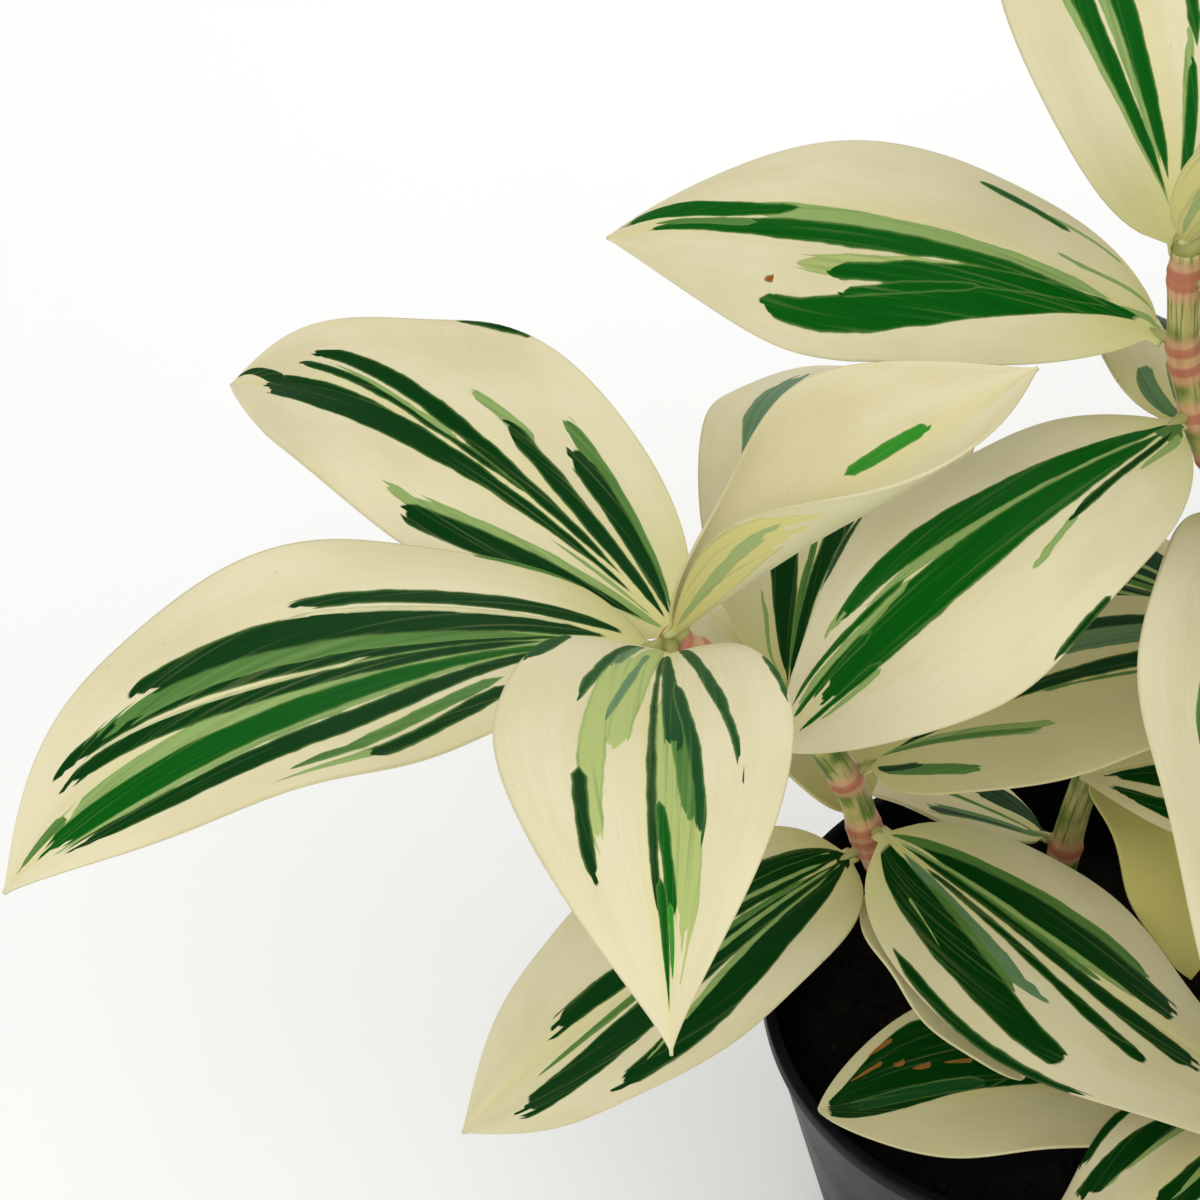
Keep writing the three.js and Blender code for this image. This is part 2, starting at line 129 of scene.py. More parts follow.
LEAVES: dict[str, tuple[Blade, ...]] = {
    "front_left": (
        Blade(
            furled=True, heading=16, rise=45, fall=27, swerve=4, roll=12, twist=-10, length=100, width=54,
            curl=158, unfurl=-165, bias=0.4, fold=16, lean=-0.1, belly=0.54, shoulder=1.5, point=1.2,
            wave=3, ripples=1.6, phase=0.1,
        ),
        Blade(
            height=255, heading=134, rise=22, fall=-41, swerve=6, roll=-18, length=155, width=56, curl=4,
            fold=11, lean=-0.03, shoulder=1.8, point=0.95, wave=4.2, phase=0.68,
        ),
        Blade(
            height=262, heading=264, rise=58, fall=-16, swerve=9, roll=4, twist=-5, length=157, width=60,
            curl=-10, fold=17, lean=-0.12, belly=0.52, shoulder=1.5, point=1.3, wave=1,
        ),
        Blade(
            height=261, heading=193, rise=33, fall=-16, swerve=37, roll=9, twist=-6, length=164, width=68,
            curl=-13, fold=8, lean=-0.07, belly=0.48, point=1.09, wave=2.4, ripples=2.2, phase=0.53,
        ),
        Blade(
            height=223, heading=80, rise=20, fall=-50, swerve=-4, roll=-3, twist=-8, length=150, width=65,
            curl=-8, fold=8, belly=0.52, shoulder=1.8, wave=1.9, phase=0.05,
        ),
        Blade(
            height=192, heading=9, rise=37, fall=-11, swerve=-10, roll=-15, length=130, width=62, curl=-14,
            phase=0.28,
        ),
        Blade(height=170, heading=118, rise=26, fall=-40, roll=18, length=90, width=39, curl=3, fold=12),
        Blade(
            height=174, heading=-44, rise=2, fall=-32, swerve=23, twist=-31, length=140, width=63,
            curl=-28, fold=3, belly=0.36, point=1.14, phase=0.2,
        ),
        Blade(
            height=166, heading=211, rise=1, fall=-45, swerve=-5, roll=10, length=117, width=60, curl=-13,
            fold=8, belly=0.5, shoulder=2.4, ripples=2.2, phase=0.58,
        ),
        Blade(
            height=159, heading=-58, rise=2, fall=-30, swerve=-4, roll=-15, twist=-5, length=60, width=45,
            curl=-8, fold=12, point=0.8, phase=0.63,
        ),
    ),
    "tall": (
        Blade(
            furled=True, heading=-20, rise=58, fall=48, roll=-5, length=108, width=47, curl=110,
            unfurl=-60, fold=13,
        ),
        Blade(
            height=322, heading=102, rise=44, fall=-24, roll=19, length=150, width=63, curl=-10, phase=0.8,
        ),
        Blade(height=319, heading=-32, rise=38, fall=-34, swerve=10, roll=-8, length=150, width=62),
        Blade(
            height=301, heading=144, rise=9, fall=-34, swerve=19, twist=-20, length=143, width=64,
            curl=-33, fold=2, lean=0.06, belly=0.45, shoulder=1.6, wave=1.8, ripples=1.8, phase=0.34,
        ),
        Blade(height=296, heading=36, rise=26, fall=-34, swerve=-8, length=146, width=60, phase=0.4),
        Blade(
            height=284, heading=221, rise=19, fall=-57, swerve=-13, roll=8, length=124, width=63, curl=-28,
            fold=3, lean=0.04, belly=0.54, shoulder=1.8, point=0.96, wave=2.1, phase=0.29,
        ),
        Blade(
            height=270, heading=94, rise=12, fall=-83, roll=11, twist=13, length=91, width=51, curl=-8,
            fold=9, shoulder=2.6, wave=1.8, phase=0.58,
        ),
        Blade(
            height=250, heading=264, rise=22, fall=-15, roll=-36, length=159, width=63, fold=11, lean=0.05,
            belly=0.45, shoulder=1.7, wave=2.4,
        ),
        Blade(height=230, heading=-42, rise=24, fall=-34, length=96, width=48, phase=0.15),
        Blade(height=198, heading=160, rise=12, fall=-33, roll=10, length=100, width=54, curl=-26, fold=4),
        Blade(height=200, heading=66, rise=22, fall=-42, length=128, width=57, phase=0.55),
    ),
    "front_right": (
        Blade(
            furled=True, heading=-70, rise=66, fall=52, length=98, width=46, curl=110, unfurl=-60, fold=13,
        ),
        Blade(height=237, heading=-22, rise=30, fall=-28, length=140, width=60, phase=0.3),
        Blade(height=229, heading=250, rise=32, fall=-24, length=138, width=60, phase=0.6),
        Blade(height=221, heading=46, rise=34, fall=-22, length=110, width=50),
        Blade(height=198, heading=-64, rise=18, fall=-38, length=132, width=58, phase=0.2),
        Blade(height=176, heading=4, rise=14, fall=-44, length=124, width=56, phase=0.45),
        Blade(
            height=138, heading=226, rise=16, fall=-38, roll=11, twist=11, length=104, width=49, curl=-20,
            fold=5, belly=0.36, wave=2.4, phase=0.9,
        ),
        Blade(
            height=125, heading=178, rise=4, fall=-12, swerve=7, roll=8, twist=-5, length=101, width=50,
            curl=-3, fold=9, lean=-0.08, belly=0.53, point=0.8,
        ),
    ),
    "back_right": (
        Blade(
            furled=True, heading=60, rise=64, fall=50, length=100, width=46, curl=110, unfurl=-60, fold=13,
        ),
        Blade(height=269, heading=14, rise=30, fall=-30, length=146, width=61, phase=0.1),
        Blade(height=264, heading=106, rise=30, fall=-34, length=142, width=60, phase=0.5),
        Blade(height=250, heading=-60, rise=30, fall=-30, length=98, width=50, phase=0.7),
        Blade(height=226, heading=56, rise=20, fall=-44, length=134, width=58, phase=0.35),
        Blade(height=206, heading=-14, rise=16, fall=-46, length=124, width=55),
        Blade(height=187, heading=180, rise=14, fall=-35, swerve=-9, roll=-8, length=84, width=54),
        Blade(height=160, heading=84, rise=16, fall=-40, length=118, width=52, phase=0.25),
    ),
    "young": (
        Blade(
            furled=True, heading=110, rise=70, fall=60, length=40, width=22, curl=110, unfurl=-60, fold=13,
            wave=0.6,
        ),
        Blade(
            height=158, heading=-56, rise=20, fall=-79, swerve=-26, roll=-21, length=63, width=38,
            curl=-10, fold=12, wave=2, phase=0.79,
        ),
        Blade(height=128, heading=163, rise=23, fall=-10, roll=26, length=76, width=35, curl=-6, wave=1),
    ),
}

# ---------------------------------------------------------------- markings


class Tone(Enum):
    """The greens and browns of the markings, and the yellow of painted shade in a furled leaf's trough."""

    DARK = (0, 54, 6)
    VIVID = (0, 85, 8)
    MUTED = (20, 74, 28)
    FRESH = (48, 136, 34)
    MID = (82, 124, 58)
    LIGHT = (140, 166, 98)
    PALE = (170, 184, 112)
    # painted shade: the yellow of the shadowed trough where a furled leaf's near half rolls over
    TROUGH_SHADE = (214, 203, 124)
    CREAM = (212, 204, 164)
    GREY = (96, 130, 92)
    BROWN = (150, 82, 30)


@dataclass(frozen=True)
class Streak:
    """One streak along the veins of a blade.

    Args:
        start, end: the shares of the length it runs between.
        right, left: how far across the blade its two edges are, from -1 (right) to 1 (left), at its
            start, halfway along and at its end.
        tone: its colour.
        rag: how ragged its far end is, as a share of its length.
    """

    start: float
    end: float
    right: Triple
    left: Triple
    tone: Tone = Tone.DARK
    rag: float = 0.12

    @staticmethod
    def bend(edge: Triple) -> Triple:
        """The constant, the slope and the square of a curve through an edge's three places."""
        first, middle, last = edge
        return first, 4 * middle - 3 * first - last, 2 * (first + last) - 4 * middle


VIVID, MUTED, FRESH, MID, LIGHT = Tone.VIVID, Tone.MUTED, Tone.FRESH, Tone.MID, Tone.LIGHT
PALE, TROUGH_SHADE, CREAM, GREY, BROWN = Tone.PALE, Tone.TROUGH_SHADE, Tone.CREAM, Tone.GREY, Tone.BROWN

PATTERNS: dict[str, tuple[Streak, ...]] = {
    "upper_left": (
        Streak(0.03, 0.56, (0.14, 0.42, 0.66), (0.34, 0.62, 0.76), LIGHT, 0.3),
        Streak(0.05, 0.48, (0.28, 0.47, 0.7), (0.33, 0.71, 0.83)),
        Streak(0.04, 0.3, (0.12, 0.17, 0.24), (0.15, 0.2, 0.27), LIGHT, 0.4),
        Streak(0.35, 0.5, (-0.38, -0.43, -0.46), (-0.28, -0.36, -0.41), LIGHT, 0.2),
        Streak(0.04, 0.38, (-0.42, -0.59, -0.72), (-0.3, -0.48, -0.62), MID, 0.16),
        Streak(0.04, 0.43, (-0.16, -0.26, -0.42), (-0.04, -0.12, -0.32), rag=0.16),
        Streak(0.04, 0.32, (-0.34, -0.49, -0.59), (-0.2, -0.3, -0.45), rag=0.16),
        Streak(0.1, 0.83, (-0.04, -0.2, -0.65), (0.0, -0.08, -0.5), rag=0.08),
        Streak(0.28, 0.84, (-0.02, -0.1, -0.43), (0.0, -0.05, -0.33), rag=0.08),
        Streak(0.44, 0.78, (-0.05, -0.16, -0.39), (-0.04, -0.14, -0.37), LIGHT, 0.2),
        Streak(0.05, 0.9, (0.04, 0.03, -0.19), (0.07, 0.22, 0.33), rag=0.05),
        Streak(0.85, 0.985, (-0.15, -0.46, -1.0), (0.08, -0.16, -0.84), rag=0.05),
        Streak(0.43, 0.6, (-1.0, -1.0, -1.0), (-1.0, -0.96, -0.99), rag=0.2),
    ),
    "far_left": (
        Streak(0.28, 0.64, (0.5, 0.66, 0.78), (0.58, 0.74, 0.84), MID, 0.3),
        Streak(0.44, 0.7, (0.78, 0.85, 0.88), (0.83, 0.88, 0.9), LIGHT, 0.3),
        Streak(0.28, 0.54, (0.6, 0.74, 0.84), (0.72, 0.84, 0.91)),
        Streak(0.1, 0.96, (-0.06, 0.02, -0.25), (0.2, 0.44, 0.42), LIGHT, 0.12),
        Streak(0.12, 0.94, (0.19, 0.46, 0.4), (0.24, 0.62, 0.6), rag=0.1),
        Streak(0.12, 0.96, (0.16, 0.19, -0.12), (0.2, 0.39, 0.34), VIVID, 0.08),
        Streak(0.88, 0.975, (-0.2, -0.25, -0.25), (-0.06, -0.1, -0.12), MID, 0.2),
        Streak(0.18, 0.885, (0.08, -0.01, -0.56), (0.15, 0.11, -0.42), rag=0.1),
        Streak(0.14, 0.875, (0.0, -0.17, -0.72), (0.08, -0.03, -0.58), rag=0.1),
        Streak(0.4, 0.86, (0.0, -0.12, -0.58), (0.01, -0.11, -0.55), CREAM, 0.2),
        Streak(0.16, 0.84, (0.0, -0.23, -0.68), (0.06, -0.11, -0.5), MID, 0.2),
        Streak(0.08, 0.735, (-0.12, -0.36, -0.66), (0.0, -0.14, -0.5), rag=0.1),
        Streak(0.1, 0.54, (-0.16, -0.3, -0.5), (-0.14, -0.27, -0.47), CREAM, 0.2),
        Streak(0.05, 0.51, (-0.34, -0.44, -0.57), (-0.16, -0.31, -0.5)),
        Streak(0.07, 0.23, (-1.0, -1.0, -1.0), (-0.98, -0.93, -0.97), MID, 0.2),
    ),
    "near_centre": (
        Streak(0.12, 0.64, (0.14, 0.36, 0.65), (0.28, 0.46, 0.68), MUTED, 0.14),
        Streak(0.5, 0.95, (0.0, 0.08, 0.32), (0.24, 0.38, 0.55), PALE, 0.3),
        Streak(0.4, 0.7, (-0.04, -0.03, -0.03), (0.06, 0.12, 0.1), PALE, 0.2),
        Streak(0.48, 0.71, (0.06, 0.13, 0.22), (0.2, 0.25, 0.31), MID, 0.2),
        Streak(0.16, 0.56, (-0.03, -0.01, 0.04), (0.01, 0.12, 0.22), MUTED, 0.16),
        Streak(0.34, 0.74, (0.06, 0.2, 0.34), (0.12, 0.29, 0.4), MUTED, 0.12),
        Streak(0.16, 0.88, (-0.06, -0.08, -0.12), (-0.03, -0.04, -0.03), rag=0.14),
        Streak(0.63, 0.83, (-0.04, -0.01, 0.05), (0.0, 0.1, 0.18), VIVID, 0.16),
        Streak(0.76, 0.95, (-0.06, -0.05, 0.0), (0.0, 0.06, 0.04), VIVID, 0.12),
        Streak(0.8, 0.91, (0.05, 0.08, 0.12), (0.1, 0.15, 0.18), FRESH, 0.2),
        Streak(0.12, 0.58, (-0.22, -0.3, -0.42), (-0.06, -0.11, -0.24), PALE, 0.2),
        Streak(0.26, 0.76, (-0.4, -0.48, -0.54), (-0.2, -0.32, -0.44), PALE, 0.2),
        Streak(0.2, 0.55, (-0.2, -0.27, -0.44), (-0.17, -0.23, -0.4), GREY, 0.3),
        Streak(0.14, 0.34, (-0.4, -0.42, -0.44), (-0.3, -0.31, -0.37), GREY, 0.2),
        Streak(0.14, 0.47, (-0.44, -0.49, -0.58), (-0.36, -0.41, -0.53), MUTED, 0.14),
        Streak(0.6, 0.79, (-0.54, -0.6, -0.67), (-0.47, -0.5, -0.59)),
        Streak(0.2, 0.37, (-1.0, -1.0, -1.0), (-1.0, -0.87, -0.98), MUTED, 0.2),
        Streak(0.28, 0.5, (1.0, 0.95, 0.98), (1.0, 1.0, 1.0), MUTED, 0.2),
    ),
    "furled_near": (
        # painted shade in the trough under the rolled-over near half, not a marking of the leaf
        Streak(0.02, 0.5, (-0.98, -0.98, -0.96), (-0.3, -0.5, -0.8), TROUGH_SHADE, 0.3),
        Streak(0.53, 0.75, (0.14, 0.07, 0.08), (0.2, 0.2, 0.18), FRESH, 0.1),
        Streak(0.04, 0.42, (-0.64, -0.76, -0.9), (-0.56, -0.66, -0.84), LIGHT, 0.2),
    ),
    "upright_back": (
        Streak(0.01, 0.34, (0.08, 0.1, 0.24), (0.26, 0.36, 0.42), rag=0.2),
        Streak(0.01, 0.34, (-0.12, -0.16, -0.36), (0.04, -0.02, -0.14), rag=0.2),
        Streak(0.01, 0.3, (0.04, 0.0, -0.06), (0.08, 0.06, 0.02), MID, 0.3),
        Streak(0.02, 0.16, (0.6, 0.44, 0.46), (0.66, 0.5, 0.5), LIGHT, 0.2),
        Streak(0.36, 0.84, (0.52, 0.56, 0.5), (0.62, 0.72, 0.6), GREY, 0.3),
        Streak(0.4, 0.76, (-0.58, -0.5, -0.5), (-0.44, -0.36, -0.4), rag=0.2),
    ),
    "broad_centre": (
        Streak(0.01, 0.08, (0.3, 0.02, 0.0), (1.0, 0.6, 0.36), MID, 0.1),
        Streak(0.04, 0.19, (0.42, 0.36, 0.36), (0.66, 0.43, 0.4), LIGHT, 0.2),
        Streak(0.32, 0.45, (0.3, 0.36, 0.41), (0.34, 0.4, 0.46), LIGHT, 0.2),
        Streak(0.04, 0.36, (0.24, 0.24, 0.31), (0.34, 0.3, 0.36)),
        Streak(0.6, 0.81, (-0.44, -0.48, -0.52), (-0.34, -0.38, -0.42), LIGHT, 0.2),
        Streak(0.03, 0.78, (-0.06, -0.39, -0.5), (0.08, -0.13, -0.38), VIVID, 0.08),
        Streak(0.08, 0.76, (0.03, -0.14, -0.33), (0.08, -0.07, -0.27), LIGHT, 0.2),
        Streak(0.04, 0.89, (0.12, -0.1, -0.1), (0.18, 0.22, 0.28), VIVID, 0.08),
        Streak(0.6, 0.93, (-0.17, -0.18, -0.34), (-0.13, -0.09, -0.2), LIGHT, 0.16),
        Streak(0.6, 0.94, (-0.19, -0.28, -0.48), (-0.16, -0.21, -0.4), VIVID, 0.12),
        Streak(0.72, 0.94, (-0.1, -0.13, -0.2), (0.0, -0.04, -0.1), VIVID, 0.12),
        Streak(0.74, 0.95, (0.2, 0.21, 0.22), (0.28, 0.27, 0.29), VIVID, 0.14),
        Streak(0.74, 0.9, (0.27, 0.3, 0.31), (0.3, 0.34, 0.36), LIGHT, 0.2),
        Streak(0.58, 0.77, (-1.0, -1.0, -1.0), (-1.0, -0.92, -0.99), rag=0.2),
        Streak(0.38, 0.54, (0.97, 0.95, 0.97), (1.0, 1.0, 1.0), rag=0.2),
    ),
    "mid_right": (
        Streak(0.03, 0.38, (0.02, -0.32, -0.54), (0.1, -0.18, -0.42), LIGHT, 0.14),
        Streak(0.04, 0.36, (-0.02, -0.3, -0.5), (0.06, -0.24, -0.46), MID, 0.14),
        Streak(0.03, 0.24, (-0.58, -0.7, -0.84), (-0.36, -0.54, -0.74), MID, 0.16),
        Streak(0.03, 0.13, (-0.56, -0.54, -0.56), (-0.36, -0.42, -0.48), rag=0.2),
        Streak(0.08, 0.66, (0.1, 0.32, 0.22), (0.24, 0.64, 0.6), GREY, 0.16),
        Streak(0.08, 0.64, (0.24, 0.52, 0.5), (0.3, 0.64, 0.62), rag=0.16),
        Streak(0.06, 0.66, (-0.02, 0.02, 0.02), (0.06, 0.14, 0.26), rag=0.1),
        Streak(0.34, 0.6, (-0.02, -0.04, -0.1), (0.02, -0.01, -0.05), MID, 0.2),
    ),
    "low_right": (
        Streak(0.02, 0.54, (0.12, 0.3, 0.38), (0.32, 0.47, 0.5), MID, 0.12),
        Streak(0.06, 0.6, (0.14, 0.11, 0.14), (0.2, 0.39, 0.36), rag=0.06),
        Streak(0.02, 0.56, (0.06, 0.08, 0.09), (0.1, 0.13, 0.13), LIGHT, 0.2),
        Streak(0.1, 0.52, (0.03, 0.02, 0.02), (0.08, 0.08, 0.07), MID, 0.2),
        Streak(0.04, 0.67, (0.0, -0.06, -0.34), (0.08, 0.03, -0.1), rag=0.07),
        Streak(0.08, 0.59, (-0.06, -0.2, -0.54), (-0.03, -0.13, -0.42), rag=0.08),
        Streak(0.06, 0.42, (-0.12, -0.34, -0.47), (-0.03, -0.2, -0.38), GREY, 0.3),
        Streak(0.12, 0.37, (-0.2, -0.36, -0.56), (-0.14, -0.28, -0.49), MID, 0.2),
        Streak(0.03, 0.49, (-0.54, -0.7, -0.86), (-0.1, -0.37, -0.74), rag=0.06),
        Streak(0.12, 0.22, (-0.46, -0.51, -0.59), (-0.45, -0.5, -0.58), LIGHT, 0.2),
        Streak(0.16, 0.6, (-0.96, -1.0, -1.0), (-0.86, -0.93, -0.98), rag=0.2),
    ),
    "low_left": (
        Streak(0.03, 0.67, (0.1, 0.42, 0.8), (0.32, 0.74, 0.9)),
        Streak(0.06, 0.58, (0.16, 0.36, 0.72), (0.2, 0.4, 0.76), LIGHT, 0.2),
        Streak(0.02, 0.88, (0.02, 0.14, 0.44), (0.14, 0.42, 0.76), rag=0.08),
        Streak(0.04, 0.5, (0.06, 0.14, 0.26), (0.09, 0.18, 0.3), LIGHT, 0.2),
        Streak(0.06, 0.86, (0.0, 0.06, 0.2), (0.04, 0.12, 0.26), MID, 0.2),
        Streak(0.02, 0.75, (-0.3, -0.24, -0.28), (-0.02, -0.02, -0.08), rag=0.1),
        Streak(0.04, 0.5, (-0.1, -0.14, -0.18), (-0.07, -0.11, -0.15), LIGHT, 0.2),
        Streak(0.02, 0.56, (-0.46, -0.46, -0.56), (-0.26, -0.28, -0.44), rag=0.16),
        Streak(0.0, 0.05, (-0.6, -0.44, -0.3), (0.6, 0.44, 0.3), rag=0.3),
    ),
    "wide_back": (
        Streak(0.015, 0.09, (-0.92, -0.36, -0.1), (-0.5, -0.12, 0.1), LIGHT, 0.1),
        Streak(0.05, 0.69, (-0.2, 0.42, 0.66), (0.08, 0.73, 0.77), VIVID, 0.06),
        Streak(0.12, 0.68, (0.0, 0.2, 0.36), (0.1, 0.36, 0.44), PALE, 0.2),
        Streak(0.1, 0.57, (-0.02, 0.17, 0.38), (0.1, 0.36, 0.45), VIVID, 0.08),
        Streak(0.28, 0.53, (0.28, 0.4, 0.53), (0.33, 0.48, 0.58), VIVID, 0.1),
        Streak(0.1, 0.8, (-0.16, -0.08, -0.22), (-0.02, 0.06, 0.02), LIGHT, 0.2),
        Streak(0.14, 0.94, (-0.01, 0.04, -0.02), (0.03, 0.2, 0.08), VIVID, 0.07),
        Streak(0.7, 0.93, (0.04, -0.02, -0.14), (0.09, 0.05, -0.08), MID, 0.2),
        Streak(0.64, 0.985, (-0.14, -0.3, -0.95), (-0.06, -0.06, -0.45), VIVID, 0.12),
        Streak(0.04, 0.22, (-0.9, -0.46, -0.36), (-0.8, -0.4, -0.3), LIGHT, 0.2),
        Streak(0.12, 0.3, (-0.94, -0.82, -0.76), (-0.9, -0.78, -0.72), LIGHT, 0.2),
        Streak(0.22, 0.42, (-0.74, -0.77, -0.83), (-0.68, -0.7, -0.77), VIVID, 0.16),
        Streak(0.65, 0.67, (0.5, 0.52, 0.54), (0.56, 0.57, 0.56), BROWN, 0.1),
    ),
    "top_back": (
        Streak(0.06, 0.92, (0.0, 0.4, 0.4), (0.08, 0.62, 0.56), LIGHT, 0.12),
        Streak(0.06, 0.9, (0.0, 0.34, 0.3), (0.06, 0.54, 0.5), VIVID, 0.1),
        Streak(0.12, 0.78, (0.02, 0.14, 0.3), (0.08, 0.28, 0.36), LIGHT, 0.2),
        Streak(0.1, 0.72, (-0.04, -0.04, 0.04), (0.02, 0.16, 0.2), VIVID, 0.12),
        Streak(0.1, 0.34, (-0.26, -0.36, -0.46), (-0.18, -0.28, -0.4), LIGHT, 0.2),
        Streak(0.1, 0.29, (-0.24, -0.38, -0.43), (-0.16, -0.28, -0.38), VIVID, 0.14),
        Streak(0.3, 0.8, (-0.5, -0.62, -0.6), (-0.42, -0.5, -0.54), VIVID, 0.2),
    ),
    "corner": (
        Streak(0.03, 0.19, (0.4, 0.5, 0.48), (0.76, 0.78, 0.56), GREY, 0.2),
        Streak(0.03, 0.23, (0.14, 0.18, 0.22), (0.38, 0.34, 0.28), GREY, 0.2),
        Streak(0.02, 0.86, (0.02, 0.02, 0.1), (0.1, 0.16, 0.16), rag=0.2),
        Streak(0.02, 0.4, (-0.12, -0.28, -0.36), (-0.02, -0.1, -0.26), rag=0.2),
    ),
    "speckled": (
        Streak(0.0, 0.62, (-0.6, -0.52, -0.5), (0.0, 0.0, 0.02), rag=0.05),
        Streak(0.55, 0.98, (-0.3, -0.86, -0.3), (0.0, 0.18, 0.7), rag=0.03),
        Streak(0.6, 0.96, (-0.1, -0.1, 0.0), (0.02, 0.1, 0.34), MUTED, 0.2),
        Streak(0.62, 0.7, (-0.3, -0.31, -0.32), (-0.27, -0.28, -0.3), BROWN, 0.4),
        Streak(0.72, 0.77, (-0.34, -0.33, -0.34), (-0.3, -0.29, -0.31), BROWN, 0.4),
        Streak(0.78, 0.82, (-0.46, -0.45, -0.46), (-0.42, -0.4, -0.42), BROWN, 0.4),
        Streak(0.83, 0.92, (-0.56, -0.55, -0.54), (-0.52, -0.5, -0.5), BROWN, 0.4),
        Streak(0.8, 0.88, (-0.8, -0.8, -0.78), (-0.76, -0.75, -0.74), BROWN, 0.4),
    ),
    "corner_low": (
        Streak(0.04, 0.5, (0.0, 0.02, -0.08), (0.14, 0.36, 0.22), rag=0.14),
        Streak(0.1, 0.46, (0.02, 0.1, 0.08), (0.06, 0.16, 0.14), LIGHT, 0.3),
        Streak(0.06, 0.56, (-0.3, -0.64, -0.86), (-0.1, -0.36, -0.62), rag=0.1),
        Streak(0.2, 0.5, (-0.36, -0.42, -0.56), (-0.3, -0.38, -0.52), LIGHT, 0.3),
        Streak(0.26, 0.5, (-0.96, -1.0, -1.0), (-0.9, -0.9, -0.94), rag=0.2),
    ),
    "margin_cream": (
        Streak(0.04, 0.91, (0.14, 0.56, 0.5), (0.3, 0.86, 0.66), rag=0.08),
        Streak(0.04, 0.93, (0.0, 0.0, 0.12), (0.12, 0.46, 0.26), rag=0.08),
        Streak(0.04, 0.6, (-0.2, -0.4, -0.56), (-0.04, -0.2, -0.4), MID, 0.2),
    ),
    "young": (
        Streak(0.0, 0.28, (-1.0, -0.88, -0.5), (-0.5, -0.28, -0.26)),
        Streak(0.0, 0.1, (0.1, 0.1, 0.1), (0.9, 0.5, 0.4), MID, 0.3),
        Streak(0.03, 0.43, (0.26, 0.32, 0.62), (0.62, 0.58, 0.98), MID, 0.14),
        Streak(0.08, 0.42, (0.4, 0.46, 0.7), (0.5, 0.56, 0.9), rag=0.14),
        Streak(0.02, 0.7, (0.0, -0.06, -0.1), (0.08, 0.04, 0.06), MID, 0.2),
    ),
    "plain": (
        Streak(0.02, 0.5, (0.02, 0.12, 0.2), (0.06, 0.18, 0.24), LIGHT, 0.3),
    ),
}


@dataclass(frozen=True)
class Dress:
    """What one leaf wears.

    Args:
        pattern: the name of its markings.
        mirrored: whether left and right are swapped.
        shade: how far painted shade turns its cream to the yellow of a leaf in shadow.
    """

    pattern: str
    mirrored: bool = False
    shade: float = 0.0


# The dress of each leaf, in the order of the leaves above; each shade is painted shade for a leaf that sits
# in shadow
WORN: dict[str, tuple[Dress, ...]] = {
    "front_left": (
        Dress("furled_near"), Dress("upper_left"), Dress("near_centre"), Dress("far_left"),
        Dress("upright_back"), Dress("mid_right", shade=0.3), Dress("plain", shade=0.3),
        Dress("low_right"), Dress("low_left"), Dress("top_back", shade=0.2),
    ),
    "tall": (
        Dress("furled_near"), Dress("top_back"), Dress("broad_centre", True), Dress("wide_back"),
        Dress("upper_left", True), Dress("broad_centre"), Dress("corner"), Dress("margin_cream"),
        Dress("mid_right", True, 0.3), Dress("low_left", True, 0.3), Dress("far_left", True, 0.2),
    ),
    "front_right": (
        Dress("furled_near", True), Dress("wide_back", True), Dress("low_right", True),
        Dress("top_back", True), Dress("upper_left"), Dress("far_left", True, 0.1),
        Dress("corner_low", shade=0.1), Dress("speckled", shade=0.2),
    ),
    "back_right": (
        Dress("furled_near"), Dress("far_left"), Dress("low_right"), Dress("broad_centre", True),
        Dress("upper_left", True), Dress("low_left"), Dress("margin_cream", shade=0.3),
        Dress("mid_right", True, 0.2),
    ),
    "young": (Dress("plain", shade=0.6), Dress("plain", shade=0.9), Dress("young", shade=0.1)),
}


# ---------------------------------------------------------------- shader helpers

Socket = bpy.types.NodeSocket
# What feeds a socket: another socket, or a plain number, vector or colour
Feed = Socket | float | tuple
FLOAT, COLOUR, NORMAL = "NodeSocketFloat", "NodeSocketColor", "NodeSocketVector"


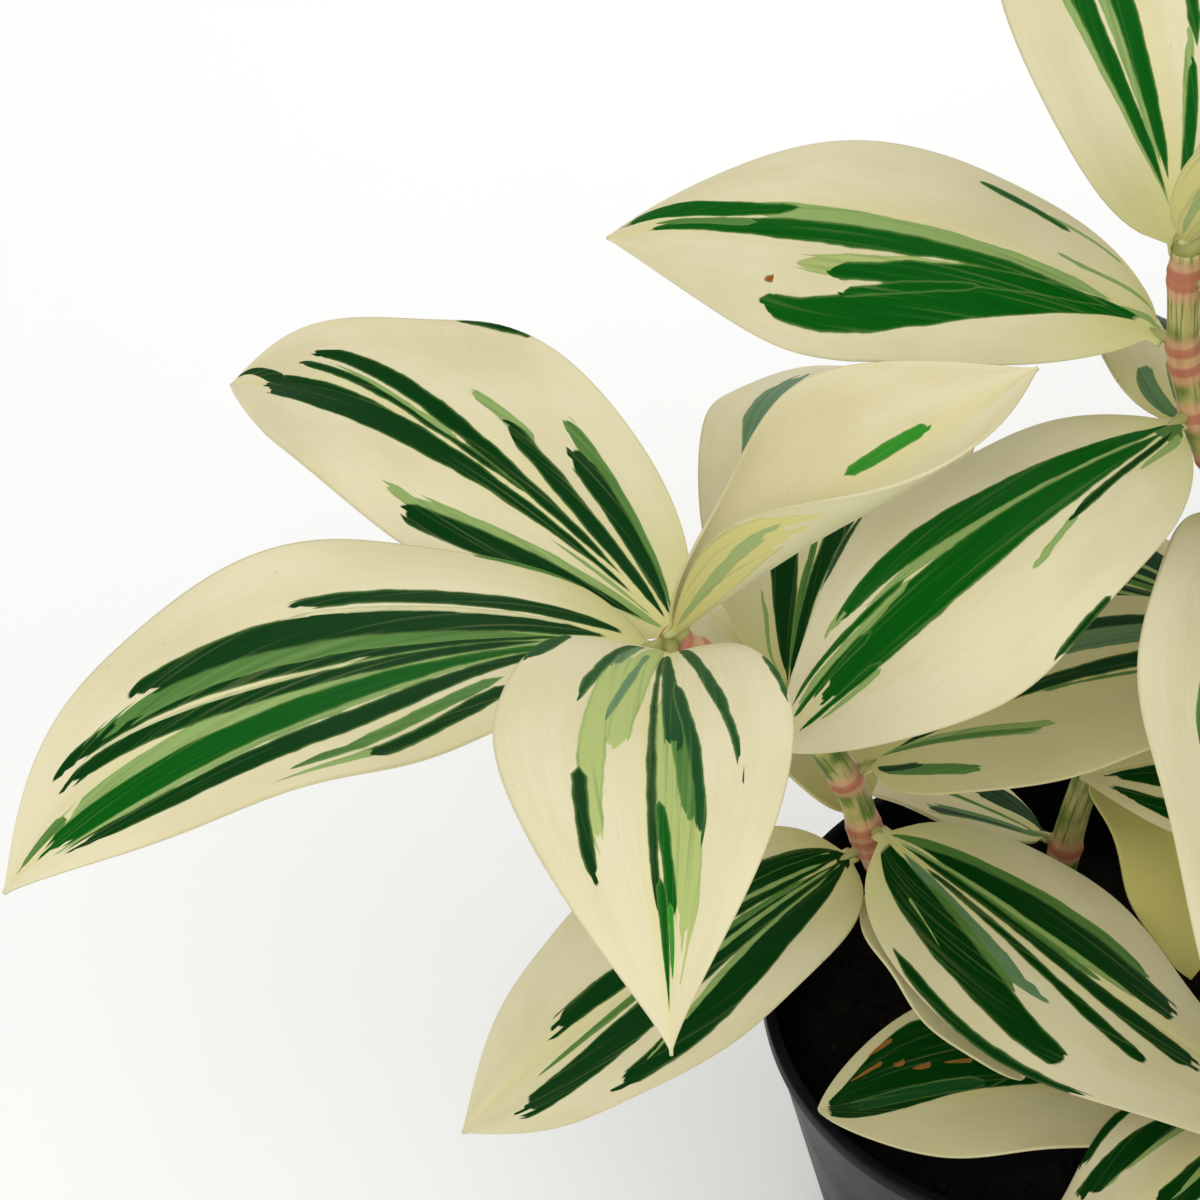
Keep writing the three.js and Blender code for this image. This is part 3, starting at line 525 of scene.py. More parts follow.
@dataclass(frozen=True)
class Wiring:
    """Adds nodes to one tree and joins them up.

    Args:
        tree: the material's or the group's node tree.
    """

    tree: bpy.types.NodeTree

    def add(self, kind: str, **settings: object) -> bpy.types.Node:
        """A new node with its settings.

        Args:
            kind: the node's type.
            settings: its own settings by name.

        Returns:
            The node.
        """
        node = self.tree.nodes.new(kind)
        for name, value in settings.items():
            setattr(node, name, value)
        return node

    def put(self, socket: Socket, value: Feed) -> None:
        """Feeds a socket from another socket, or sets its own value.

        Args:
            socket: the input.
            value: what it gets.
        """
        if isinstance(value, Socket):
            self.tree.links.new(value, socket)
        else:
            socket.default_value = value

    def feed(self, node: bpy.types.Node, values: dict[str | int, Feed]) -> bpy.types.Node:
        """Feeds several sockets of a node, by their names or places.

        Args:
            node: the node.
            values: what each input gets, by its name or place.

        Returns:
            The same node.
        """
        for key, value in values.items():
            self.put(node.inputs[key], value)
        return node

    def math(self, operation: str, *values: Feed, clamp: bool = False) -> Socket:
        """A sum, product or other function of one, two or three values."""
        node = self.add("ShaderNodeMath", operation=operation, use_clamp=clamp)
        return self.feed(node, dict(enumerate(values))).outputs[0]

    def times(self, value: Feed, factor: Feed, clamp: bool = False) -> Socket:
        """A product."""
        return self.math("MULTIPLY", value, factor, clamp=clamp)

    def minus(self, value: Feed, taken: Feed) -> Socket:
        """A difference."""
        return self.math("SUBTRACT", value, taken)

    def line(self, value: Feed, slope: Feed, offset: Feed, clamp: bool = False) -> Socket:
        """A value times a slope, plus an offset."""
        return self.math("MULTIPLY_ADD", value, slope, offset, clamp=clamp)

    def ramp(self, value: Feed, low: float, high: float, start: float = 0.0, end: float = 1.0) -> Socket:
        """A soft step from start to end while the value goes from low to high.

        Args:
            value: what is read.
            low, high: where the step begins and is over.
            start, end: what comes out before it and after it.

        Returns:
            The step.
        """
        node = self.add("ShaderNodeMapRange", interpolation_type="SMOOTHSTEP")
        values = {"Value": value, "From Min": low, "From Max": high, "To Min": start, "To Max": end}
        return self.feed(node, values).outputs[0]

    def blend(self, share: Feed, below: Feed, above: Feed) -> Socket:
        """One colour laid over another."""
        node = self.add("ShaderNodeMix", data_type="RGBA")
        return self.feed(node, {0: share, 6: below, 7: above}).outputs[2]

    def layers(self, colour: Feed, *laid: tuple[Feed, Rgb]) -> Socket:
        """A colour with others laid over it, each by its own mask.

        Args:
            colour: the lowest one.
            laid: each mask with its colour, from the lowest up.

        Returns:
            The mixed colour.
        """
        for mask, above in laid:
            colour = self.blend(mask, colour, linear(above))
        return colour

    def vector(self, x: Feed, y: Feed, z: Feed = 0.0) -> Socket:
        """Three values as one vector."""
        return self.feed(self.add("ShaderNodeCombineXYZ"), {0: x, 1: y, 2: z}).outputs[0]

    def stretched(
        self, first: Feed, wide: float, second: Feed, long: float, seed: Feed = 0.0,
    ) -> Socket:
        """A place on a surface, with each of its two measures scaled by its own factor."""
        return self.vector(self.times(first, wide), self.times(second, long), seed)

    def noise(
        self, place: Socket, scale: float = 1.0, detail: float = 2.0, rough: float = 0.5,
    ) -> Socket:
        """Soft noise from 0 to 1 at a place."""
        values = {"Vector": place, "Scale": scale, "Detail": detail, "Roughness": rough}
        return self.feed(self.add("ShaderNodeTexNoise"), values).outputs[0]

    def cells(self, place: Socket, scale: float) -> Socket:
        """The distance to the nearest of many scattered points."""
        node = self.add("ShaderNodeTexVoronoi", feature="F1")
        return self.feed(node, {"Vector": place, "Scale": scale}).outputs["Distance"]

    def bump(self, height: Feed, strength: float, depth: float) -> Socket:
        """A normal bent by a height, for a depth in metres."""
        values = {"Strength": strength, "Distance": depth, "Height": height}
        return self.feed(self.add("ShaderNodeBump"), values).outputs[0]

    def object_place(self) -> Socket:
        """The point's place in metres."""
        return self.add("ShaderNodeTexCoord").outputs["Object"]

    def chart(self, name: str) -> tuple[Socket, Socket]:
        """The two measures of the piece's own map.

        Args:
            name: the map's name.

        Returns:
            Its first and its second measure.
        """
        split = self.add("ShaderNodeSeparateXYZ")
        self.put(split.inputs[0], self.add("ShaderNodeUVMap", uv_map=name).outputs[0])
        return split.outputs[0], split.outputs[1]


def new_group(
    name: str, inputs: dict[str, Feed], outputs: dict[str, str],
) -> tuple[Wiring, dict[str, Socket], bpy.types.Node]:
    """An empty shader group with named sockets.

    Args:
        name: the group's name.
        inputs: each input's default value, a number or a colour.
        outputs: each output's socket type.

    Returns:
        The group's wiring, its inputs by name and its output node.
    """
    tree = bpy.data.node_groups.new(name, "ShaderNodeTree")
    for label, value in inputs.items():
        kind = COLOUR if isinstance(value, tuple) else FLOAT
        socket = tree.interface.new_socket(label, in_out="INPUT", socket_type=kind)
        socket.default_value = value
    for label, kind in outputs.items():
        tree.interface.new_socket(label, in_out="OUTPUT", socket_type=kind)
    w = Wiring(tree)
    return w, dict(w.add("NodeGroupInput").outputs.items()), w.add("NodeGroupOutput")


def new_material(name: str) -> tuple[bpy.types.Material, Wiring, bpy.types.Node]:
    """A new material, its wiring and its shader node.

    Args:
        name: the material's name.

    Returns:
        The material, its wiring and its shader node.
    """
    material = bpy.data.materials.new(name)
    material.use_nodes = True
    return material, Wiring(material.node_tree), material.node_tree.nodes["Principled BSDF"]


# ---------------------------------------------------------------- finishes


@dataclass(frozen=True)
class Fibres:
    """What all the streaks of one leaf share: how their edges wander, fray and vary in tone."""

    wander: float = 0.05
    middle: float = 0.32
    lanes: float = 21.0
    lane_drift: float = 0.8
    tooth: float = 0.8
    lightest: float = 0.1
    darkest: float = 0.25

    OUTPUTS = ("Wander", "Tooth", "Lighter", "Darker")

    def build(self) -> bpy.types.NodeTree:
        """Makes the group.

        Returns:
            The group's node tree.
        """
        inputs = dict.fromkeys(("Share", "Across", "Seed"), 0.0)
        w, given, made = new_group("Fibres", inputs, dict.fromkeys(self.OUTPUTS, FLOAT))
        share, across, seed = (given[name] for name in inputs)
        drift = w.noise(w.stretched(share, 16.0, across, 3.0, seed), detail=3.0)
        fine = w.noise(w.stretched(across, 30.0, share, 2.6, seed))
        lane = w.math("FLOOR", w.line(across, self.lanes, w.times(drift, self.lane_drift)))
        toss = w.add("ShaderNodeTexWhiteNoise", noise_dimensions="2D")
        w.put(toss.inputs["Vector"], w.vector(lane, seed))
        w.feed(made, {
            "Wander": w.times(w.minus(drift, self.middle), self.wander),
            "Tooth": w.times(toss.outputs[0], self.tooth),
            "Lighter": w.ramp(fine, 0.54, 0.74, 0.0, self.lightest),
            "Darker": w.ramp(fine, 0.48, 0.3, 0.0, self.darkest),
        })
        return w.tree


@dataclass(frozen=True)
class StreakLayer:
    """Lays one streak over a colour: a band between two curved edges, whose end breaks up into lanes."""

    edge_sharpness: float = 90.0
    start_sharpness: float = 60.0
    end_sharpness: float = 220.0
    foot_taper: float = 0.05
    foot_pace: float = 10.0
    corner: float = 0.4
    rim_pace: float = 42.0
    rim_strength: float = 0.5
    lighter: Rgb = (196, 202, 140)
    darker: Rgb = (0, 46, 8)
    rim: Rgb = (112, 146, 74)

    def build(self) -> bpy.types.NodeTree:
        """Makes the group.

        Returns:
            The group's node tree.
        """
        inputs = {"Below": (1, 1, 1, 1), "Tone": (0, 0.1, 0, 1)}
        inputs |= dict.fromkeys(("Share", "Across", "Start", "End", "Rag", *Fibres.OUTPUTS), 0.0)
        inputs |= {f"{side} {power}": 0.0 for side in ("Right", "Left") for power in range(3)}
        w, given, made = new_group("Streak", inputs, {"Color": COLOUR})
        across = given["Across"]
        run = w.minus(given["End"], given["Start"])
        x = w.math("DIVIDE", w.minus(given["Share"], given["Start"]), run)
        right, left = (
            w.line(x, w.line(x, given[f"{side} 2"], given[f"{side} 1"]), given[f"{side} 0"])
            for side in ("Right", "Left")
        )
        from_right = w.minus(across, right)
        near = w.math("ADD", w.math("MINIMUM", from_right, w.minus(left, across)), given["Wander"])
        near = w.line(w.line(x, -self.foot_pace, 1.0, clamp=True), -self.foot_taper, near)
        inside = w.line(near, self.edge_sharpness, 0.5, clamp=True)
        side = w.line(w.math("DIVIDE", from_right, w.minus(left, right)), 2.0, -1.0)
        tooth = w.line(w.times(side, side), self.corner, given["Tooth"])
        stop = w.minus(1.0, w.times(tooth, given["Rag"]))
        ended = w.line(w.times(w.minus(stop, x), run), self.end_sharpness, 0.5, clamp=True)
        begun = w.times(x, self.start_sharpness, clamp=True)
        mask = w.times(w.times(inside, ended), begun)
        rim = w.times(w.line(near, -self.rim_pace, 1.0, clamp=True), self.rim_strength)
        tone = w.layers(
            given["Tone"], (given["Lighter"], self.lighter), (given["Darker"], self.darker), (rim, self.rim),
        )
        w.put(made.inputs["Color"], w.blend(mask, given["Below"], tone))
        return w.tree


@dataclass(frozen=True)
class Cream:
    """The cream of a blade with its veins, midrib and small blemishes, and the yellow of painted shade for a
    leaf in shadow.
    """

    pale: Rgb = (219, 211, 175)
    deep: Rgb = (211, 202, 162)
    rib: Rgb = (214, 206, 140)
    foot: Rgb = (196, 196, 112)
    shaded: Rgb = (188, 180, 98)
    vein: Rgb = (186, 178, 120)
    rim: Rgb = (196, 186, 130)
    spot: Rgb = (150, 120, 60)

    def build(self) -> bpy.types.NodeTree:
        """Makes the group.

        Returns:
            The group's node tree.
        """
        inputs = dict.fromkeys(("Share", "Across", "Seed", "Shade"), 0.0)
        outputs = {"Color": COLOUR, "Roughness": FLOAT, "Normal": NORMAL}
        w, given, made = new_group("Blade", inputs, outputs)
        share, across, seed, shade = (given[name] for name in inputs)
        wide = w.noise(w.stretched(across, 1.2, share, 2.4, seed), 1.6, 3.0)
        veins = w.noise(w.stretched(across, 34.0, share, 2.2, seed))
        spots = w.cells(w.stretched(across, 1.4, share, 3.0, seed), 5.0)
        out = w.math("ABSOLUTE", across)
        colour = w.layers(
            linear(self.pale), (w.ramp(wide, 0.35, 0.7), self.deep),
            (w.ramp(out, 0.0, 0.34, 0.45, 0.0), self.rib),
            (w.ramp(share, 0.0, 0.24, 0.6, 0.0), self.foot),
            # painted shade: yellows the cream of a leaf that sits in shadow
            (shade, self.shaded),
            (w.ramp(veins, 0.42, 0.62, 0.0, 0.07), self.vein),
            (w.ramp(out, 0.975, 1.0, 0.0, 0.25), self.rim),
            (w.ramp(spots, 0.045, 0.02, 0.0, 0.5), self.spot),
        )
        groove = w.ramp(out, 0.0, 0.06, -1.0, 0.0)
        height = w.line(veins, 0.5, w.line(groove, 1.2, w.times(wide, 2.0)))
        roughness = w.ramp(veins, 0.3, 0.7, 0.4, 0.5)
        w.feed(made, {"Color": colour, "Roughness": roughness, "Normal": w.bump(height, 0.2, 0.0006)})
        return w.tree


@dataclass(frozen=True)
class BladeFinish:
    """The look of one face of a leaf.

    Args:
        name: the leaf's name.
        dress: what it wears.
        under: whether it is the underside, which is paler and duller.
        seed: moves the noise, so that leaves with one pattern still differ.
    """

    name: str
    dress: Dress
    under: bool
    seed: float
    paleness: float = 0.36
    pale: Rgb = (186, 188, 140)

    def build(self, groups: dict[str, bpy.types.NodeTree]) -> bpy.types.Material:
        """Makes the material.

        Args:
            groups: the shader groups by name.

        Returns:
            The material.
        """
        material, w, shader = new_material(f"{self.name}_{'under' if self.under else 'top'}")
        across, share = w.chart("blade")
        if self.dress.mirrored:
            across = w.times(across, -1.0)
        place = {"Share": share, "Across": across}
        base, fibres = (w.add("ShaderNodeGroup", node_tree=groups[name]) for name in ("blade", "fibres"))
        w.feed(base, place | {"Seed": self.seed, "Shade": self.dress.shade})
        w.feed(fibres, place | {"Seed": self.seed})
        colour = base.outputs["Color"]
        for one in PATTERNS[self.dress.pattern]:
            values = place | {output.name: output for output in fibres.outputs}
            values |= {"Below": colour, "Tone": linear(one.tone.value)}
            values |= {"Start": one.start, "End": one.end, "Rag": one.rag}
            for side, edge in (("Right", one.right), ("Left", one.left)):
                values |= {f"{side} {power}": part for power, part in enumerate(one.bend(edge))}
            node = w.feed(w.add("ShaderNodeGroup", node_tree=groups["streak"]), values)
            colour = node.outputs["Color"]
        if self.under:
            colour = w.layers(colour, (self.paleness, self.pale))
        w.feed(shader, {
            "Base Color": colour, "Roughness": base.outputs["Roughness"], "Normal": base.outputs["Normal"],
            "Specular IOR Level": 0.06, "Subsurface Weight": 0.06, "Subsurface Radius": (1.0, 0.8, 0.3),
            "Subsurface Scale": 0.002,
        })
        return material


@dataclass(frozen=True)
class StemFinish:
    """The look of a stem: a striped olive and cream sheath, flushed red at each node."""

    olive: Rgb = (92, 122, 38)
    straw: Rgb = (190, 178, 112)
    stripe: Rgb = (58, 98, 30)
    flush: Rgb = (214, 158, 122)
    ring: Rgb = (168, 70, 58)

    def build(self) -> bpy.types.Material:
        """Makes the material.

        Returns:
            The material.
        """
        material, w, shader = new_material("stem_sheath")
        around, along = w.chart("sheath")
        node = w.add("ShaderNodeAttribute", attribute_name="node").outputs["Fac"]
        lanes = w.noise(w.stretched(around, 26.0, along, 5.0))
        wide = w.noise(w.stretched(around, 3.0, along, 8.0))
        colour = w.layers(
            linear(self.olive), (w.ramp(wide, 0.35, 0.62), self.straw),
            (w.ramp(lanes, 0.5, 0.6, 0.0, 0.7), self.stripe),
            (w.ramp(w.line(wide, 0.4, node), 0.3, 0.8, 0.0, 0.7), self.flush),
            (w.ramp(node, 0.8, 0.97, 0.0, 0.65), self.ring),
        )
        w.feed(shader, {
            "Base Color": colour, "Roughness": w.ramp(lanes, 0.3, 0.7, 0.36, 0.52),
            "Normal": w.bump(lanes, 0.3, 0.0004), "Subsurface Weight": 0.1,
            "Subsurface Radius": (1.0, 0.5, 0.25), "Subsurface Scale": 0.002,
        })
        return material


@dataclass(frozen=True)
class SoilFinish:
    """The look of damp dark potting mix.

    Args:
        name: the material's name.
        dark, light: the colours of its hollows and of its lumps.
        fleck: the colour of the small bright bits.
    """

    name: str
    dark: Rgb
    light: Rgb
    fleck: Rgb = (70, 48, 32)

    def build(self) -> bpy.types.Material:
        """Makes the material.

        Returns:
            The material.
        """
        material, w, shader = new_material(self.name)
        place = w.object_place()
        coarse, fine = w.noise(place, 160.0, 4.0, 0.6), w.noise(place, 900.0, 3.0, 0.6)
        colour = w.layers(
            linear(self.dark), (w.ramp(coarse, 0.45, 0.75), self.light),
            (w.ramp(fine, 0.66, 0.78, 0.0, 0.4), self.fleck),
        )
        w.feed(shader, {
            "Base Color": colour, "Roughness": w.ramp(fine, 0.3, 0.7, 0.8, 0.98),
            "Normal": w.bump(w.line(coarse, 1.5, fine), 0.8, 0.0012), "Specular IOR Level": 0.15,
        })
        return material


@dataclass(frozen=True)
class PotFinish:
    """The look of thin black nursery plastic, dulled by handling."""

    black: Rgb = (14, 13, 17)
    dusty: Rgb = (30, 28, 35)

    def build(self) -> bpy.types.Material:
        """Makes the material.

        Returns:
            The material.
        """
        material, w, shader = new_material("pot_plastic")
        place = w.object_place()
        dust, grain = w.noise(place, 22.0, 4.0, 0.6), w.noise(place, 1400.0)
        w.feed(shader, {
            "Base Color": w.layers(linear(self.black), (w.ramp(dust, 0.4, 0.75, 0.0, 0.7), self.dusty)),
            "Roughness": w.ramp(dust, 0.3, 0.75, 0.3, 0.46),
            "Normal": w.bump(w.line(dust, 2.0, grain), 0.2, 0.0004), "Specular IOR Level": 0.2, "IOR": 1.22,
        })
        return material


@dataclass(frozen=True)
class FloorFinish:
    """The look of a plain pale studio floor."""

    pale: Rgb = (250, 250, 249)
    paler: Rgb = (247, 247, 246)

    def build(self) -> bpy.types.Material:
        """Makes the material.

        Returns:
            The material.
        """
        material, w, shader = new_material("studio_floor")
        cloud = w.noise(w.object_place(), 0.8)
        colour = w.layers(linear(self.pale), (w.ramp(cloud, 0.3, 0.7), self.paler))
        w.feed(shader, {"Base Color": colour, "Roughness": 0.9})
        return material


# ---------------------------------------------------------------- curves and meshes


@dataclass(frozen=True)
class StemLine:
    """The smooth line of a stem through its given points, sampled finely.

    Args:
        given: the stem's own points, from its foot at the soil to its tip.
    """

    given: Sequence[Triple]
    steps: int = 40
    buried: float = 26
    foot_share: float = 0.9

    @cached_property
    def points(self) -> list[Vector]:
        """The curve's points, from its foot in the soil to its tip."""
        x, y, z = self.given[0]
        half = (1 + self.foot_share) / 2
        foot = [
            Vector((x * self.foot_share, y * self.foot_share, z - self.buried)),
            Vector((x * half, y * half, z - self.buried / 2)),
        ]
        knots = foot + [Vector(point) for point in self.given]
        knots = [2 * knots[0] - knots[1], *knots, 2 * knots[-1] - knots[-2]]
        points = [knots[1]]
        for before, start, end, after in zip(knots, knots[1:], knots[2:], knots[3:]):
            points += self.span(before, start, end, after)
        return points

    def span(self, before: Vector, start: Vector, end: Vector, after: Vector) -> list[Vector]:
        """The points of one span of a curve whose pace follows the root of the knots' distances.

        Args:
            before: the knot before the span.
            start, end: the knots at its ends.
            after: the knot after it.

        Returns:
            Its points after the first.
        """
        a, b, c = (math.sqrt((q - p).length) for p, q in ((before, start), (start, end), (end, after)))
        leave = ((start - before) / a - (end - before) / (a + b) + (end - start) / b) * b
        arrive = ((end - start) / b - (after - start) / (b + c) + (after - end) / c) * b
        square = -3 * start + 3 * end - 2 * leave - arrive
        cube = 2 * start - 2 * end + leave + arrive
        steps = (i / self.steps for i in range(1, self.steps + 1))
        return [start + leave * t + square * t * t + cube * t**3 for t in steps]

    def at_height(self, height: float) -> tuple[Vector, Vector]:
        """The place and the direction where the rising line reaches a height.

        Args:
            height: the height; past the tip it counts as the tip.

        Returns:
            The place and the direction.
        """
        for low, high in zip(self.points, self.points[1:]):
            if high.z >= height:
                return low.lerp(high, (height - low.z) / (high.z - low.z)), (high - low).normalized()
        return self.points[-1], (self.points[-1] - self.points[-2]).normalized()

    def evenly(self, step: float) -> list[tuple[Vector, Vector]]:
        """Places and directions at even distances along the line, with both its ends.

        Args:
            step: the distance aimed at.

        Returns:
            Each place with its direction.
        """
        gaps = [(q - p).length for p, q in zip(self.points, self.points[1:])]
        count = round(sum(gaps) / step)
        found, index, gone = [], 0, 0.0
        for k in range(count + 1):
            target = sum(gaps) * k / count
            while index < len(gaps) - 1 and gone + gaps[index] < target:
                gone += gaps[index]
                index += 1
            low, high = self.points[index], self.points[index + 1]
            found.append((low.lerp(high, min((target - gone) / gaps[index], 1)), (high - low).normalized()))
        return found


def finish_mesh(
    name: str, bm: bmesh.types.BMesh, materials: Iterable[bpy.types.Material],
) -> bpy.types.Object:
    """Scales a mesh from millimetres to metres and makes it a smooth object at the origin.

    Args:
        name: the piece's name.
        bm: its mesh, which is freed.
        materials: its materials in order.

    Returns:
        The piece.
    """
    bmesh.ops.scale(bm, vec=(MM, MM, MM), verts=bm.verts)
    mesh = bpy.data.meshes.new(name)
    for face in bm.faces:
        face.smooth = True
    bm.to_mesh(mesh)
    bm.free()
    for material in materials:
        mesh.materials.append(material)
    piece = bpy.data.objects.new(name, mesh)
    bpy.context.scene.collection.objects.link(piece)
    return piece


def turned(line: Iterable[tuple[float, float]], sides: int) -> bmesh.types.BMesh:
    """A surface turned about the upright axis from the radii and heights of its outline.

    Args:
        line: the outline, from one end to the other.
        sides: the number of steps of the turn.

    Returns:
        The mesh.
    """
    bm = bmesh.new()
    verts = [bm.verts.new((radius, 0, height)) for radius, height in line]
    edges = [bm.edges.new(pair) for pair in zip(verts, verts[1:])]
    bmesh.ops.spin(bm, geom=verts + edges, cent=(0, 0, 0), axis=(0, 0, 1), angle=2 * math.pi,
                   steps=sides, use_merge=True, use_duplicate=False)
    bmesh.ops.remove_doubles(bm, verts=bm.verts, dist=0.001)
    return bm


def stand_for(piece: bpy.types.Object, node: str) -> bpy.types.Object:
    """Puts a finer piece in the place of a node of the plain model.

    Args:
        piece: the finer piece.
        node: the node it stands for.

    Returns:
        The same piece.
    """
    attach(piece, "root")
    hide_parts(node)
    LOG.info("built %s with %d faces", piece.name, len(piece.data.polygons))
    return piece


@dataclass(frozen=True)
class Leaf:
    """A leaf: a waved blade walked out along its midrib.

    Args:
        name: the name of the node it stands for.
        blade: its measures.
        root: where its midrib starts.
    """

    name: str
    blade: Blade
    root: Vector
    thickness: float = 0.75
    stalk: float = 0.02
    stalk_half_width: float = 2.4
    tip_half_width: float = 0.3
    rows: int = 64
    columns: int = 28
    edge_crowding: float = 1.45
    end_crowding: float = 0.5
    side_lag: float = 0.25

    def half_width(self, share: float) -> float:
        """Half the blade's width at a share of its length.

        Args:
            share: the share of the length.

        Returns:
            The half width, which never quite closes.
        """
        blade = self.blade
        along = max((share - self.stalk) / (1 - self.stalk), 0)
        full = blade.width / 2
        if along < blade.belly:
            left = 1 - along / blade.belly
            return max(full * (1 - left**blade.shoulder) ** (1 / blade.shoulder), self.stalk_half_width)
        past = (along - blade.belly) / (1 - blade.belly)
        return max(full * max(1 - past * past, 0) ** blade.point, self.tip_half_width)

    def axes(self, share: float) -> tuple[Vector, Vector, Vector]:
        """The midrib's direction, the blade's left side and its up direction.

        Args:
            share: the share of the length.

        Returns:
            The three directions.
        """
        blade = self.blade
        heading = math.radians(blade.heading + blade.swerve * share)
        climb = math.radians(mix(blade.rise, blade.fall, share))
        roll = math.radians(blade.roll + blade.twist * share)
        level = Vector((-math.sin(heading), math.cos(heading), 0))
        forward = Vector((math.cos(climb) * math.cos(heading), math.cos(climb) * math.sin(heading),
                          math.sin(climb)))
        upright = forward.cross(level)
        side = level * math.cos(roll) + upright * math.sin(roll)
        return forward, side, upright * math.cos(roll) - level * math.sin(roll)

    def row_shares(self) -> list[float]:
        """The shares of the rows, a little closer together at both ends."""
        even = [i / self.rows for i in range(self.rows + 1)]
        return [mix(share, (1 - math.cos(math.pi * share)) / 2, self.end_crowding) for share in even]

    def spine(self, shares: Sequence[float]) -> list[Vector]:
        """The midrib's points at rising shares of its length.

        Args:
            shares: the shares, from 0 to 1.

        Returns:
            One point for each.
        """
        points = [self.root.copy()]
        for start, end in zip(shares, shares[1:]):
            step = self.axes((start + end) / 2)[0] * ((end - start) * self.blade.length)
            points.append(points[-1] + step)
        return points

    def place(self, midrib: Vector, share: float, across: float) -> Vector:
        """A point of the blade, from its midrib's point, a share of its length and a share across.

        Args:
            midrib: the midrib's point.
            share: the share of the length.
            across: how far across, from -1 (right) to 1 (left).

        Returns:
            The point.
        """
        blade = self.blade
        _, side, up = self.axes(share)
        hand = (across > 0) - (across < 0)
        out = abs(across)
        turn = math.radians(blade.curl + blade.unfurl * share) * (1 - hand * blade.bias) * out
        arc = math.sin(turn / 2) / (turn / 2) if turn else 1
        reach = self.half_width(share) * (1 + hand * blade.lean) * out * arc
        chord = math.radians(blade.fold) + turn / 2
        swing = math.sin(2 * math.pi * (blade.ripples * share + blade.phase + self.side_lag * hand))
        wave = blade.wave * out * out * swing * math.sin(math.pi * share)
        return midrib + side * (hand * reach * math.cos(chord)) + up * (reach * math.sin(chord) + wave)

    def build(self, top: bpy.types.Material, under: bpy.types.Material) -> bpy.types.Object:
        """Makes the leaf, whose faces carry the share along and across it as their map.

        Args:
            top, under: the materials of its two faces.

        Returns:
            The leaf.
        """
        bm = bmesh.new()
        bmesh.ops.create_grid(bm, x_segments=self.columns, y_segments=self.rows, size=1)
        shares = self.row_shares()
        spine = self.spine(shares)
        where = {}
        for vert in bm.verts:
            row = round((vert.co.y + 1) / 2 * self.rows)
            even = vert.co.x
            across = math.copysign(1 - (1 - min(abs(even), 1)) ** self.edge_crowding, even)
            where[vert] = (-across, shares[row])
            vert.co = self.place(spine[row], shares[row], -across)
        chart = bm.loops.layers.uv.new("blade")
        for face in bm.faces:
            for loop in face.loops:
                loop[chart].uv = where[loop.vert]
        bmesh.ops.recalc_face_normals(bm, faces=bm.faces)
        bm.normal_update()
        middle = min(bm.faces, key=lambda face: (face.calc_center_median() - spine[len(spine) // 2]).length)
        if middle.normal.dot(self.axes(0.5)[2]) < 0:
            bmesh.ops.reverse_faces(bm, faces=bm.faces)
        piece = finish_mesh(self.name, bm, (top, under))
        skin = piece.modifiers.new("skin", "SOLIDIFY")
        skin.thickness = self.thickness * MM
        skin.offset = 0
        skin.material_offset = 1
        skin.material_offset_rim = 0
        return stand_for(piece, self.name)


